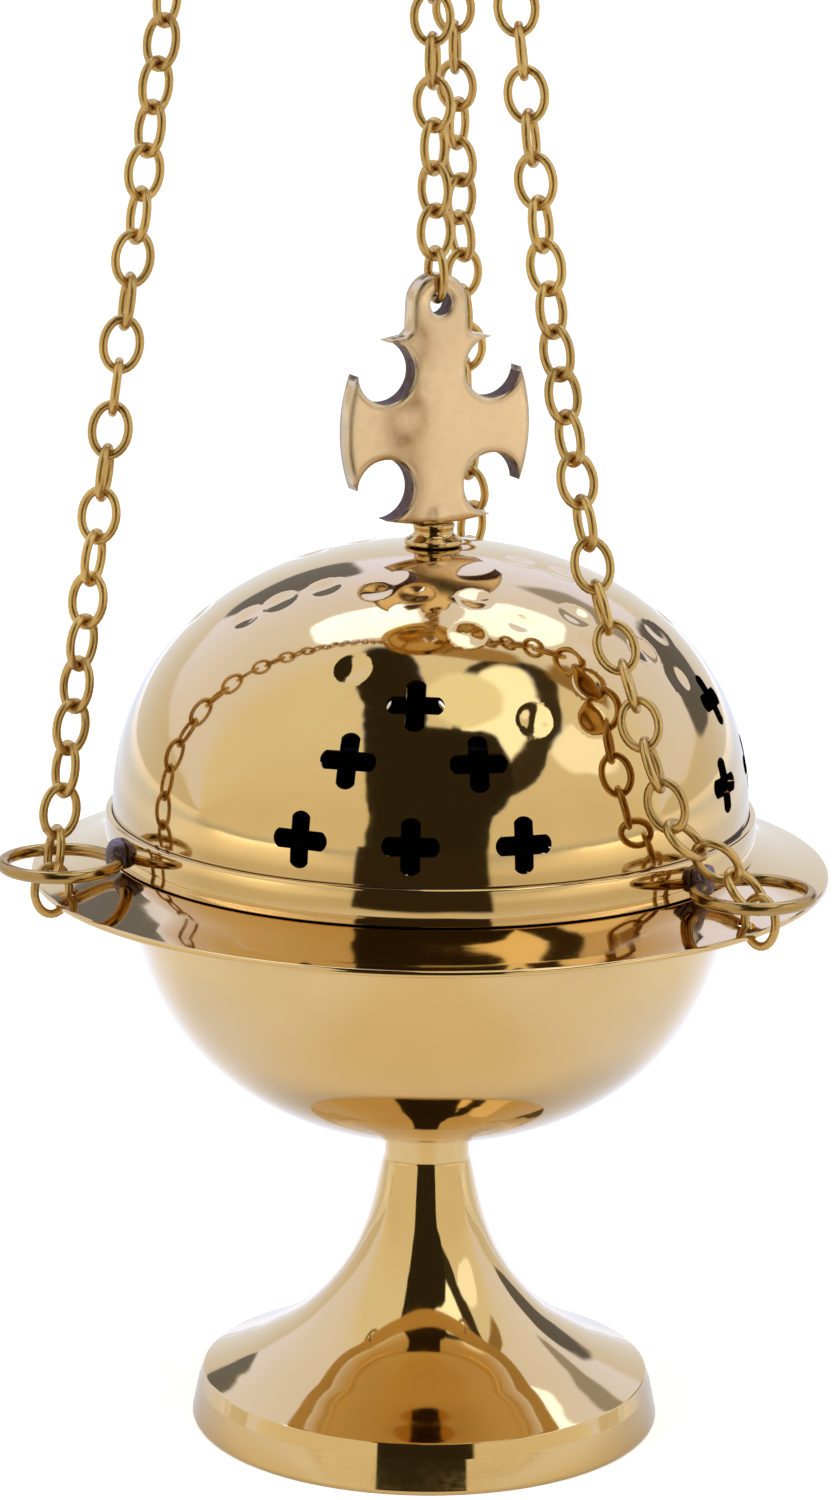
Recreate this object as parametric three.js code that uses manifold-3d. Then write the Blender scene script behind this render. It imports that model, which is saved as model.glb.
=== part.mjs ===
// A hanging censer of spun brass: a footed bowl with a wide brim, a pierced lid with a cast cross,
// three outer chains up to a small hand cap, and a fourth chain that lifts the lid.
// Millimetres, +Z up, front towards -Y. Heights are measured from the surface that the foot stands on.
import * as THREE from "three";
import { mergeVertices } from "three/addons/utils/BufferGeometryUtils.js";
import Module from "manifold-3d";

// Clearances
const seatGap = 0.3; // between pieces that rest on each other
const runningGap = 0.4; // between pieces that slide past each other
const cutMargin = 0.5; // how far a cutting body reaches past the face that it cuts

// Foot, a spun trumpet
const footRadius = 35.8;
const footBandHeight = 5.3;
const footBandTopRadius = 35.3;
const footCreaseRadius = 34.1;
const footCreaseHeight = 7.5;
const footFlare = [
  [30.2, 9.3],
  [25.6, 11.7],
  [18.8, 16.4],
  [12.8, 23.4],
  [9.3, 30.6],
]; // radius and height along the trumpet, from the crease to the neck
const neckRadius = 6.5;
const neckHeight = 42.2;
const footWall = 1;

// Bowl, spun in one piece with its brim
const bowlBottomHeight = 46.4;
const bowlFlatRadius = 8;
const bowlRadius = 45.2;
const bowlWidestHeight = 86.6;
const bowlFullness = 2.2;
const bowlWall = 1.2;
const brimReach = 11.1; // of the brim beyond the lid's edge
const brimSlopeDeg = 16;
const brimThickness = 1;
const brimSeatHeight = 90.6; // height of the brim's upper face under the lid's edge
const rimHeight = 3.6; // of the upright rim that centres the lid, above the brim

// Lid
const lidOverhang = 3.7; // of the lid's edge beyond the bowl's side
const lidWall = 1;
const lidBandHeight = 5.2;
const lidStep = 1.1; // the groove where the dome starts inside the band
const domeHeight = 40.1;
const domeFullness = 2.15;

// Pierced crosses in the lid
const crossSpan = 8.3;
const crossArm = 2.8;
const crossTipRise = 0.8; // of each arm's rounded end
const crossRowHeights = [5.7, 17, 24.4]; // above the groove, from the lowest row up
const crossRowCounts = [3, 2, 1];
const crossRowSpacingDeg = [19.6, 24.3, 0];
const crossGroupDeg = [-93.4, -4, 157, 76.5]; // front, right, left and back
const crossGroupLift = [0, 2.6, 0, 0]; // the right group was punched a little higher
const crossCutDepth = 6; // how far the punch goes to each side of the dome's face

// Bolt that joins the bowl to the foot
const boltRadius = 2;
const boltHeadRadius = 4;
const boltHeadHeight = 2.2;
const boltHeadShoulderRadius = 3.4;
const boltHeadShoulderHeight = 1.5;
const boltHeadFlatRadius = 1.6;
const boltEndBelowNut = 1.2;
const nutAcrossFlats = 7;
const nutHeight = 3.2;

// Fire pan
const panSeatRise = 23.6; // of the pan's rim above the bowl's bottom
const panFloorRadius = 22;
const panDepth = 14;
const panBendRadius = 31.2; // of the bend between the floor and the side
const panBendRise = 6.3;
const panWall = 1;
const panRimWidth = 2.2;

// Finial: a flared cross on a collar, riveted through the lid
const crownSpan = 29.6; // over the side arms
const crownHeight = 28.4; // over the upright arms, without the eye
const crownThickness = 3.2;
const crownTipReach = 13.3; // of each arm's two tips from the middle
const crownTipWidth = 17; // between an arm's two tips
const crownWaist = 8.6;
const crownTurnDeg = 26;
const crownEyeRadius = 4.3;
const crownEyeThickness = 2.5;
const crownEyeHoleRadius = 1.75;
const crownEyeRise = 4.4; // of the hole's centre above the top arm
const collarRadius = 2.8;
const collarHeight = 2.8;
const pegRadius = 1.4;
const pegEndBelowNut = 0.8;
const finialNutRadius = 3.2;
const finialNutHeight = 2.4;

// Guide rings brazed to the lid's band
const guideRingSet = 1.27; // how much nearer the axis than its chain a ring's middle lies
const guideWire = 1.9;
const guideRingLift = 1.5; // of the ring's centre plane above the lid's edge
const brazeRadius = 2.7;
const brazeLift = 0.9; // of the lump's middle above the ring's

// Chains
const chainDeg = [-157.5, -37.5, 82.5];
const chainSides = ["left", "right", "back"];
const linkWire = 1; // side of the square that stands for a round wire of 1.13
const linkWidth = 6.6;
const linkPitch = 6.15;
const linkSink = 0.1; // how deep neighbouring links press into each other where they touch
const linkEndWidth = 3.8; // of the straight stretch at each end
const linkHangGap = 0.6; // between a chain and the links that it hangs from
const chainHoleRadius = 1.45;
const chainHoleInset = 2.6; // of a chain hole's centre from the edge that its link wraps

// Cap that carries the chains
const capCentreX = -9.4;
const capTurnDeg = -15; // of the cap against the bowl, seen from above
const capEdgeHeight = 260.8;
const capRadius = 25;
const capDomeHeight = 5.5;
const capWall = 1.2;
const capRimWidth = 5; // the flat ring outside the dome, where the chains hang
const liftHoleRadius = 4.6;
const liftLean = 2.6; // how far left of the axis the lid chain's top hangs
const liftRise = 6; // of the lid chain's end above the cap
const lidTravel = 15; // of the lid up its chains

// Rings above the cap
const eyeInnerRadius = 1.9;
const eyeWire = 1.2;
const eyePostRadius = 1.1;
const eyePostRise = 1.6;
const eyePostReach = 1.6; // of the riveted end below the top of the cap's hollow
const eyeShoulderRadius = 1.9;
const eyeShoulderHeight = 1;
const hangRingRadius = 17;
const hangWire = 2.8;
const pullRingRadius = 10;
const pullWire = 2;

// How finely round shapes are cut
const bodySides = 32;
const capSides = 24;
const smallSides = 12;
const ringSides = 18;
const wireSides = 6;
const lumpRings = 5;
const holeSides = 8;
const biteSteps = 10;
const armEndSteps = 5;
const footSteps = 7;
const bowlSteps = 7;
const domeSteps = 7;
const innerSteps = 5;
const capSteps = 4;

// Metals
const polished = { color: 0xd9bc7c, roughness: 0.12, metalness: 1 };
const cast = { color: 0xcfa877, roughness: 0.3, metalness: 1 };
const wireBrass = { color: 0xc09a52, roughness: 0.25, metalness: 1 };
const dull = { color: 0xa58a55, roughness: 0.5, metalness: 1 };

const wasm = await Module();
wasm.setup();
const { Manifold, Mesh: ManifoldMesh } = wasm;

const up = new THREE.Vector3(0, 0, 1);
const radians = THREE.MathUtils.degToRad;

// Solids and booleans
function solidFrom(geometry) {
  const bare = geometry.index ? geometry.toNonIndexed() : geometry.clone();
  bare.deleteAttribute("normal");
  bare.deleteAttribute("uv");
  const merged = mergeVertices(bare, 1e-4);
  const vertProperties = new Float32Array(merged.attributes.position.array);
  const triVerts = new Uint32Array(merged.index.array);
  return new Manifold(new ManifoldMesh({ numProp: 3, vertProperties, triVerts }));
}

function geometryFrom(solid) {
  const mesh = solid.getMesh();
  const geometry = new THREE.BufferGeometry();
  const position = new Float32Array(mesh.numVert * 3);
  for (let i = 0; i < mesh.numVert; i++) {
    for (let axis = 0; axis < 3; axis++) {
      position[3 * i + axis] = mesh.vertProperties[mesh.numProp * i + axis];
    }
  }
  geometry.setAttribute("position", new THREE.BufferAttribute(position, 3));
  geometry.setIndex(Array.from(mesh.triVerts));
  return geometry.toNonIndexed();
}

function joined(solids) {
  return solids.reduce((whole, next) => whole.add(next));
}

const censer = new THREE.Group();

function addPiece(name, solid, finish) {
  const geometry = geometryFrom(solid);
  geometry.computeVertexNormals();
  const mesh = new THREE.Mesh(geometry, new THREE.MeshStandardMaterial(finish));
  mesh.name = name;
  censer.add(mesh);
}

// Revolves a closed outline of [radius, height] points, given anticlockwise, about Z.
function revolve(outline, sides) {
  const points = outline.map(([r, z]) => new THREE.Vector2(Math.max(r, 0), z));
  const closed = points[0].x > 0 || points[points.length - 1].x > 0;
  if (closed) points.push(points[0].clone());
  const lathe = new THREE.LatheGeometry(points, sides);
  lathe.rotateX(Math.PI / 2);
  const solid = solidFrom(lathe);
  return solid.volume() < 0 ? solidFrom(flipped(lathe)) : solid;
}

function flipped(geometry) {
  const index = geometry.index.array;
  for (let i = 0; i < index.length; i += 3) [index[i], index[i + 1]] = [index[i + 1], index[i]];
  return geometry;
}

// Moves each point of an open outline sideways by the wall, along the average of its neighbours' normals.
function offsetOutline(points, wall) {
  return points.map((point, i) => {
    const before = points[Math.max(i - 1, 0)];
    const after = points[Math.min(i + 1, points.length - 1)];
    const along = new THREE.Vector2(after[0] - before[0], after[1] - before[1]).normalize();
    return [point[0] - along.y * wall, point[1] + along.x * wall];
  });
}

function cylinder(radius, low, high, x = 0, y = 0, sides = smallSides) {
  const geometry = new THREE.CylinderGeometry(radius, radius, high - low, sides);
  geometry.rotateX(Math.PI / 2);
  geometry.translate(x, y, (low + high) / 2);
  return solidFrom(geometry);
}

function torus(centreRadius, wire, sides) {
  return solidFrom(new THREE.TorusGeometry(centreRadius, wire / 2, wireSides, sides));
}

function polar(radius, degrees, height, centreX = 0) {
  const angle = radians(degrees);
  return new THREE.Vector3(centreX + radius * Math.cos(angle), radius * Math.sin(angle), height);
}

// The outline of a rounded shell from its widest circle in to a lowest radius, as [radius, height] points.
// A fullness of 2 is an ellipse, and more than 2 is squarer.
function shellOutline(radius, height, fullness, steps, lowestRadius) {
  const points = [];
  const lastAngle = Math.acos(Math.pow(lowestRadius / radius, fullness / 2));
  for (let i = 0; i <= steps; i++) {
    const angle = (lastAngle * i) / steps;
    points.push([
      radius * Math.pow(Math.cos(angle), 2 / fullness),
      height * Math.pow(Math.sin(angle), 2 / fullness),
    ]);
  }
  return points;
}

// Foot
function footOutline() {
  const spline = new THREE.SplineCurve(
    [[footCreaseRadius, footCreaseHeight], ...footFlare, [neckRadius, neckHeight]].map(
      ([r, z]) => new THREE.Vector2(r, z),
    ),
  );
  const flare = spline.getPoints(footSteps).map((p) => [p.x, p.y]);
  const top = bowlBottomHeight - seatGap;
  return [[footRadius, 0], [footBandTopRadius, footBandHeight], ...flare, [neckRadius, top]];
}

const boltHoleRadius = boltRadius + seatGap;

function makeFoot() {
  const outside = footOutline();
  const inside = offsetOutline(outside, footWall).reverse();
  const top = outside[outside.length - 1][1];
  inside[0] = [neckRadius - footWall, top - footWall];
  inside[inside.length - 1] = [footRadius - footWall, 0];
  const hole = [[boltHoleRadius, top], [boltHoleRadius, top - footWall]];
  return revolve([...outside, ...hole, ...inside], bodySides);
}

// Bowl and brim
const lidRadius = bowlRadius + lidOverhang;
const brimRadius = lidRadius + brimReach;
const brimSlope = Math.tan(radians(brimSlopeDeg));
const brimTopAt = (radius) => brimSeatHeight - (radius - lidRadius) * brimSlope;
const brimFall = brimThickness / Math.cos(radians(brimSlopeDeg));
const brimUnderAt = (radius) => brimTopAt(radius) - brimFall;
const lidInnerRadius = lidRadius - lidWall;
const rimRadius = lidInnerRadius - lidStep - runningGap;
const chainHoleAt = brimRadius - chainHoleInset;

// One face of the bowl, from its widest circle down to its flat bottom
function bowlFace(radius, bottomHeight, steps) {
  const depth = bowlWidestHeight - bottomHeight;
  const arc = shellOutline(radius, depth, bowlFullness, steps, bowlFlatRadius);
  const face = arc.map(([r, drop]) => [r, bowlWidestHeight - drop]);
  face[face.length - 1] = [bowlFlatRadius, bottomHeight];
  return face;
}

function makeBowl() {
  const outside = bowlFace(bowlRadius, bowlBottomHeight, bowlSteps).reverse();
  const inside = bowlFace(bowlRadius - bowlWall, bowlBottomHeight + bowlWall, innerSteps);
  const rimTop = brimTopAt(rimRadius) + rimHeight;
  const outline = [
    [boltHoleRadius, bowlBottomHeight],
    ...outside,
    [bowlRadius, brimUnderAt(bowlRadius)],
    [brimRadius, brimUnderAt(brimRadius)],
    [brimRadius, brimTopAt(brimRadius)],
    [rimRadius, brimTopAt(rimRadius)],
    [rimRadius, rimTop],
    [bowlRadius - bowlWall, rimTop],
    ...inside,
    [boltHoleRadius, bowlBottomHeight + bowlWall],
  ];
  let bowl = revolve(outline, bodySides);
  for (const degrees of chainDeg) {
    const hole = polar(chainHoleAt, degrees, 0);
    const low = brimUnderAt(brimRadius) - cutMargin;
    const high = brimTopAt(chainHoleAt) + brimThickness;
    bowl = bowl.subtract(cylinder(chainHoleRadius, low, high, hole.x, hole.y, holeSides));
  }
  return bowl;
}

// Lid
const lidEdgeHeight = brimTopAt(lidInnerRadius) + seatGap;
const grooveHeight = lidEdgeHeight + lidBandHeight;
const domeRadius = lidRadius - lidStep;
const lidTopHeight = grooveHeight + domeHeight;
const pegHoleRadius = pegRadius + seatGap;
const domeShareAt = (share) => Math.pow(1 - Math.pow(share, domeFullness), 1 / domeFullness);

function crossOutline() {
  const half = crossSpan / 2;
  const arm = crossArm / 2;
  const shoulder = half - crossTipRise;
  const shape = new THREE.Shape();
  for (let quarter = 0; quarter < 4; quarter++) {
    const turn = (quarter * Math.PI) / 2;
    for (const [x, y] of [
      [arm, -arm],
      [shoulder, -arm],
      [half, 0],
      [shoulder, arm],
    ]) {
      const px = x * Math.cos(turn) - y * Math.sin(turn);
      const py = x * Math.sin(turn) + y * Math.cos(turn);
      if (quarter === 0 && x === arm) shape.moveTo(px, py);
      else shape.lineTo(px, py);
    }
  }
  return shape;
}

function makeLid() {
  const outer = shellOutline(domeRadius, domeHeight, domeFullness, domeSteps, pegHoleRadius);
  const dome = outer.map(([r, z]) => [r, grooveHeight + z]);
  const innerRadius = domeRadius - lidWall;
  const innerHeight = domeHeight - lidWall;
  const inner = shellOutline(innerRadius, innerHeight, domeFullness, innerSteps, pegHoleRadius);
  const nutSeat = finialNutRadius + seatGap;
  const under = lidTopHeight - lidWall;
  const hollow = inner.map(([r, z]) => [r, grooveHeight + z]).reverse();
  dome[dome.length - 1] = [pegHoleRadius, lidTopHeight];
  hollow.splice(0, 1, [pegHoleRadius, under], [nutSeat, under]);
  const outline = [
    [lidRadius, lidEdgeHeight],
    [lidRadius, grooveHeight - lidStep / 2],
    ...dome,
    ...hollow,
    [lidInnerRadius, grooveHeight - lidStep],
    [lidInnerRadius, lidEdgeHeight],
  ];
  const blank = revolve(outline, bodySides);
  const shape = crossOutline();
  const cutters = [];
  crossGroupDeg.forEach((group, i) => {
    crossRowHeights.forEach((rowRise, row) => {
      const rowHeight = rowRise + crossGroupLift[i];
      const radius = domeRadiusAt(rowHeight);
      const lean = Math.atan2(
        Math.pow(rowHeight / domeHeight, domeFullness - 1) / domeHeight,
        Math.pow(radius / domeRadius, domeFullness - 1) / domeRadius,
      );
      for (let k = 0; k < crossRowCounts[row]; k++) {
        const degrees = group + (k - (crossRowCounts[row] - 1) / 2) * crossRowSpacingDeg[row];
        const cutter = new THREE.ExtrudeGeometry(shape, { depth: 2 * crossCutDepth, bevelEnabled: false });
        cutter.translate(0, 0, -crossCutDepth);
        cutter.rotateX(Math.PI / 2);
        cutter.rotateZ(Math.PI / 2);
        cutter.rotateY(-lean);
        cutter.translate(radius, 0, grooveHeight + rowHeight);
        cutter.rotateZ(radians(degrees));
        cutters.push(solidFrom(cutter));
      }
    });
  });
  return blank.subtract(joined(cutters));
}

// Bolt and nut that hold the bowl on its foot
const footTopUnder = bowlBottomHeight - seatGap - footWall;
const nutTop = footTopUnder - seatGap;
const hexSides = 6;

function makeBolt() {
  const headLow = bowlBottomHeight + bowlWall + seatGap;
  const end = nutTop - nutHeight - boltEndBelowNut;
  return revolve(
    [
      [0, end],
      [boltRadius, end],
      [boltRadius, headLow],
      [boltHeadRadius, headLow],
      [boltHeadShoulderRadius, headLow + boltHeadShoulderHeight],
      [boltHeadFlatRadius, headLow + boltHeadHeight],
      [0, headLow + boltHeadHeight],
    ],
    smallSides,
  );
}

function hexNut(across, height, bore, top) {
  const hexagon = cylinder(across / Math.sqrt(3), top - height, top, 0, 0, hexSides);
  return hexagon.subtract(cylinder(bore, top - height - cutMargin, top + cutMargin));
}

// Fire pan, a shallow dish that rests on the curve of the bowl by its rim
function bowlInnerRadiusAt(height) {
  const face = bowlFace(bowlRadius - bowlWall, bowlBottomHeight + bowlWall, innerSteps);
  const next = face.findIndex(([, z]) => z <= height);
  const [upper, lower] = [face[next - 1], face[next]];
  const share = (height - lower[1]) / (upper[1] - lower[1]);
  return lower[0] + (upper[0] - lower[0]) * share;
}

const panRimHeight = bowlBottomHeight + panSeatRise;

function makePan() {
  const panRadius = bowlInnerRadiusAt(panRimHeight - panWall) - seatGap;
  const floor = panRimHeight - panDepth;
  const shoulder = panRadius - panRimWidth;
  return revolve(
    [
      [0, floor],
      [panFloorRadius, floor],
      [panBendRadius, floor + panBendRise],
      [shoulder, panRimHeight - panWall],
      [panRadius, panRimHeight - panWall],
      [panRadius, panRimHeight],
      [shoulder - panWall, panRimHeight],
      [panBendRadius - panWall, floor + panBendRise + panWall / 2],
      [panFloorRadius - panWall, floor + panWall],
      [0, floor + panWall],
    ],
    bodySides,
  );
}

// Finial
const collarLow = lidTopHeight + seatGap;
const crownLow = collarLow + collarHeight + seatGap;
const crownMiddle = crownLow + crownHeight / 2;
const crownEyeHeight = crownLow + crownHeight + crownEyeRise;

// Points along an arc from one angle to another, without its last one
function arcPoints(x, y, radius, from, to, steps) {
  const points = [];
  for (let i = 0; i < steps; i++) {
    const angle = from + ((to - from) * i) / steps;
    points.push(new THREE.Vector2(x + radius * Math.cos(angle), y + radius * Math.sin(angle)));
  }
  return points;
}

// A cross with a round bite between each two arms, and arms that end in a bulge between two sharp tips
function crownShape() {
  const half = crownTipWidth / 2;
  const waistCorner = crownWaist * Math.SQRT1_2;
  const spread = 2 * (half + crownTipReach - Math.SQRT2 * waistCorner);
  const biteAt = (half ** 2 + crownTipReach ** 2 - waistCorner ** 2) / spread;
  const biteRadius = biteAt * Math.SQRT2 - waistCorner;
  const toTip = Math.atan2(crownTipReach - biteAt, half - biteAt);
  const quarterTurn = Math.PI / 2;
  const points = [];
  for (let quarter = 0; quarter < 4; quarter++) {
    const span = quarter % 2 === 0 ? crownHeight : crownSpan;
    const bulge = span / 2 - crownTipReach;
    const endRadius = (half ** 2 + bulge ** 2) / (2 * bulge);
    const sweep = Math.asin(half / endRadius);
    const endAt = crownTipReach + bulge - endRadius;
    const side = [
      ...arcPoints(biteAt, biteAt, biteRadius, quarterTurn - toTip, toTip - 4 * quarterTurn, biteSteps),
      ...arcPoints(0, endAt, endRadius, quarterTurn - sweep, quarterTurn + sweep, armEndSteps),
    ];
    points.push(...side.map((point) => point.rotateAround(new THREE.Vector2(), quarter * quarterTurn)));
  }
  return new THREE.Shape(points);
}

function makeCrown() {
  const depth = crownThickness;
  const plate = new THREE.ExtrudeGeometry(crownShape(), { depth, bevelEnabled: false });
  plate.translate(0, 0, -depth / 2);
  plate.rotateX(Math.PI / 2);
  plate.translate(0, 0, crownMiddle);
  const eye = new THREE.CylinderGeometry(crownEyeRadius, crownEyeRadius, crownEyeThickness, smallSides);
  eye.translate(0, 0, crownEyeHeight);
  const rootHeight = crownEyeRise + crownThickness;
  const root = new THREE.BoxGeometry(2 * crownEyeRadius, crownEyeThickness, rootHeight);
  root.translate(0, 0, crownEyeHeight - rootHeight / 2);
  const hole = new THREE.CylinderGeometry(crownEyeHoleRadius, crownEyeHoleRadius, depth * 2, smallSides);
  hole.translate(0, 0, crownEyeHeight);
  const end = finialNutTop - finialNutHeight - pegEndBelowNut;
  const peg = cylinder(pegRadius, end, crownLow + crownThickness);
  const solid = joined([solidFrom(plate), solidFrom(eye), solidFrom(root), peg]).subtract(solidFrom(hole));
  return solid.rotate([0, 0, crownTurnDeg]);
}

const finialNutTop = lidTopHeight - lidWall - seatGap;

function washer(outer, inner, low, high) {
  return revolve(
    [
      [inner, low],
      [outer, low],
      [outer, high],
      [inner, high],
    ],
    smallSides,
  );
}

// Guide rings with their braze
const guideRingHeight = lidEdgeHeight + guideRingLift;

function makeGuideRing(degrees) {
  const centre = polar(guideRingAt, degrees, guideRingHeight);
  const ring = torus(guideRingRadius - guideWire / 2, guideWire, ringSides).translate(centre.toArray());
  const lump = new THREE.SphereGeometry(brazeRadius, wireSides, lumpRings);
  const at = polar(lidRadius + seatGap + guideWire / 2, degrees, guideRingHeight + brazeLift);
  lump.translate(at.x, at.y, at.z);
  const wall = cylinder(lidRadius + seatGap, 0, capEdgeHeight, 0, 0, bodySides);
  return ring.add(solidFrom(lump)).subtract(wall);
}

// Chain links: an oval of square wire, swept through six straight stretches
const linkLength = linkPitch + 2 * linkWire - linkSink;

// Moves each side of a closed outline outwards, with sharp corners.
function grown(outline, distance) {
  return outline.map((corner, i) => {
    const before = outline[(i + outline.length - 1) % outline.length];
    const after = outline[(i + 1) % outline.length];
    const arriving = corner.clone().sub(before).normalize();
    const leaving = after.clone().sub(corner).normalize();
    const bisector = new THREE.Vector2(arriving.y + leaving.y, -arriving.x - leaving.x).normalize();
    const stretch = distance / (bisector.x * leaving.y - bisector.y * leaving.x);
    return corner.clone().addScaledVector(bisector, stretch);
  });
}

// The end stretches lie square to the length, so that neighbours meet on flats.
function linkSolid(length) {
  const half = (length - linkWire) / 2;
  const side = (linkWidth - linkWire) / 2;
  const end = linkEndWidth / 2;
  const oval = [
    [half, -end],
    [half, end],
    [0, side],
    [-half, end],
    [-half, -end],
    [0, -side],
  ].map(([x, y]) => new THREE.Vector2(x, y));
  const outline = new THREE.Shape(grown(oval, linkWire / 2));
  outline.holes.push(new THREE.Path(grown(oval, -linkWire / 2)));
  const geometry = new THREE.ExtrudeGeometry(outline, { depth: linkWire, bevelEnabled: false });
  geometry.translate(0, 0, -linkWire / 2);
  return solidFrom(geometry);
}

// Turns a link, modelled with its length along X and its width along Y, to lie along a direction.
function placedLink(solid, centre, along, widthDirection) {
  const x = along.clone().normalize();
  const z = new THREE.Vector3().crossVectors(x, widthDirection).normalize();
  const y = new THREE.Vector3().crossVectors(z, x);
  const m = new THREE.Matrix4().makeBasis(x, y, z).setPosition(centre);
  return solid.transform(m.elements);
}

// The angle from one direction to another, seen along an axis
function angleAbout(axis, from, to) {
  const across = new THREE.Vector3().crossVectors(axis, from);
  return Math.atan2(to.dot(across), to.dot(from));
}

// A run of touching links along a curve, each about a quarter turn from the last.
// The turns add a slow twist, so that the end links face the links that they hang from.
function makeChain(curve, firstWidth, lastWidth) {
  const length = curve.getLength();
  const count = Math.round(length / linkPitch);
  const spacing = length / count;
  const solid = linkSolid(spacing + 2 * linkWire - linkSink);
  const between = angleAbout(curve.getTangentAt(1), firstWidth, lastWidth);
  const halfTurns = Math.round((count - 1) / 2 - between / Math.PI) + 1;
  const turn = (between + halfTurns * Math.PI) / (count - 1);
  const links = [];
  for (let i = 0; i < count; i++) {
    const share = (i + 0.5) / count;
    const along = curve.getTangentAt(share);
    const width = firstWidth.clone().applyAxisAngle(along, i * turn);
    links.push(placedLink(solid, curve.getPointAt(share), along, width));
  }
  return joined(links);
}

// Links that wrap the brim's edge and the cap's edge
const endLinkHalf = (linkLength - linkWire) / 2;

// Half the width between a link's two sides, at a height above the middle of its end
function linkReachAt(rise) {
  const share = rise / endLinkHalf;
  return (linkEndWidth + (linkWidth - linkWire - linkEndWidth) * share) / 2;
}

const brimLinkLow = brimUnderAt(brimRadius) - linkHangGap - linkWire / 2;
const brimLinkTop = brimLinkLow + 2 * endLinkHalf;
const brimLinkAt = chainHoleAt + linkReachAt(brimTopAt(chainHoleAt) - brimFall / 2 - brimLinkLow);
const capLinkTop = capEdgeHeight + capWall + linkHangGap + linkWire / 2;
const capLinkLow = capLinkTop - 2 * endLinkHalf;
const capLinkAt = capRadius - chainHoleInset + linkReachAt(capLinkTop - capEdgeHeight - capWall / 2);

function radialLink(at, degrees, height, centreX) {
  const radial = polar(1, degrees, 0);
  return placedLink(linkSolid(linkLength), polar(at, degrees, height, centreX), up, radial);
}

// The middle of a guide ring, and the ring's outer radius, so that it touches the lid's band and its chain passes
const guideRingAt = brimLinkAt - guideRingSet;
const guideRingRadius = guideRingAt - lidRadius - seatGap;

// A chain starts below the brim link's top and ends above the cap link's bottom, as hooked links do.
function chainEnds(degrees) {
  const hook = linkHangGap + (linkWire + linkSink) / 2;
  const low = polar(brimLinkAt, degrees, brimLinkTop - hook);
  const high = polar(capLinkAt, degrees + capTurnDeg, capLinkLow + hook, capCentreX);
  return [low, high];
}

function tangentWidth(degrees) {
  return polar(1, degrees + 90, 0);
}

// The right chain is slack: it climbs over the lid's shoulder before it hangs free.
// Each point is given by its angle, its height above the lid's groove, and how far it lies outside the dome,
// or outside the axis where it is higher than the dome.
const slackRoute = [
  [-43.2, 2.6, 6.8],
  [-48.2, 6.2, 5.4],
  [-49.8, 10.6, 5.2],
  [-50.6, 15.6, 5],
  [-50.4, 21.1, 4.9],
  [-48.3, 28.1, 5.6],
  [-47.9, 36.6, 14.6],
  [-48.2, 48.6, 32.4],
  [-49.3, 65.6, 28.2],
  [-52.8, 89.6, 24.6],
  [-59.1, 117.6, 22],
];

function domeRadiusAt(rise) {
  return rise < domeHeight ? domeRadius * domeShareAt(rise / domeHeight) : 0;
}

function slackCurve(ends) {
  const middle = slackRoute.map(([degrees, rise, out]) =>
    polar(domeRadiusAt(rise) + out, degrees, grooveHeight + rise),
  );
  return new THREE.CatmullRomCurve3([ends[0], ...middle, ends[1]], false, "centripetal");
}

// Cap: a low dome with a flat rim
const capTopHeight = capEdgeHeight + capDomeHeight;
const capDomeRadius = capRadius - capRimWidth;
const liftTop = new THREE.Vector3(-liftLean, 0, capTopHeight + capWall + liftRise);

// Where the lid chain crosses the cap's edge height, halfway through the lid's travel
function liftHoleX() {
  const share = (capEdgeHeight - lidTravel / 2 - liftLinkLow) / (liftTop.z - liftLinkLow);
  return -liftLean * share;
}

function makeCap() {
  const hole = eyePostRadius + seatGap;
  const dome = shellOutline(capDomeRadius, capDomeHeight, 2, capSteps, hole);
  const outside = dome.map(([r, z]) => [r, capEdgeHeight + capWall + z]);
  const inside = dome.map(([r, z]) => [r - capWall / 2, capEdgeHeight + z]).reverse();
  outside[outside.length - 1][0] = hole;
  inside[0][0] = hole;
  const rim = [
    [capRadius, capEdgeHeight],
    [capRadius, capEdgeHeight + capWall],
  ];
  let cap = revolve([...rim, ...outside, ...inside], capSides);
  const low = capEdgeHeight - cutMargin;
  const high = capTopHeight + capWall + cutMargin;
  for (const degrees of chainDeg) {
    const at = polar(capRadius - chainHoleInset, degrees + capTurnDeg, 0);
    cap = cap.subtract(cylinder(chainHoleRadius, low, high, at.x, at.y, holeSides));
  }
  cap = cap.subtract(cylinder(liftHoleRadius, low, high, liftHoleX() - capCentreX, 0));
  return cap.translate([capCentreX, 0, 0]);
}

// Eye on the cap, its post riveted through the middle
const eyeCentreHeight = capTopHeight + capWall + eyePostRise + eyeInnerRadius + eyeWire;

function makeCapEye() {
  const loop = torus(eyeInnerRadius + eyeWire / 2, eyeWire, smallSides).rotate([90, 0, 0]);
  const postTop = eyeCentreHeight - eyeInnerRadius - eyeWire / 2;
  const postLow = capTopHeight - eyePostReach;
  const post = cylinder(eyePostRadius, postLow, postTop);
  const shoulderLow = capTopHeight + capWall + seatGap;
  const shoulder = cylinder(eyeShoulderRadius, shoulderLow, shoulderLow + eyeShoulderHeight);
  return joined([loop.translate([0, 0, eyeCentreHeight]), post, shoulder]).translate([capCentreX, 0, 0]);
}

// A ring that stands on edge, with the middle of its lowest wire at the hinge
function uprightRing(outerRadius, wire, x, hingeHeight) {
  const centreRadius = outerRadius - wire / 2;
  const ring = torus(centreRadius, wire, ringSides).rotate([0, 90, 0]);
  return ring.translate([x, 0, hingeHeight + centreRadius]);
}

// Lid chain: from the finial's eye up through the cap
const liftLinkLow = crownEyeHeight + crownEyeHoleRadius - seatGap - linkWire;

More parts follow.
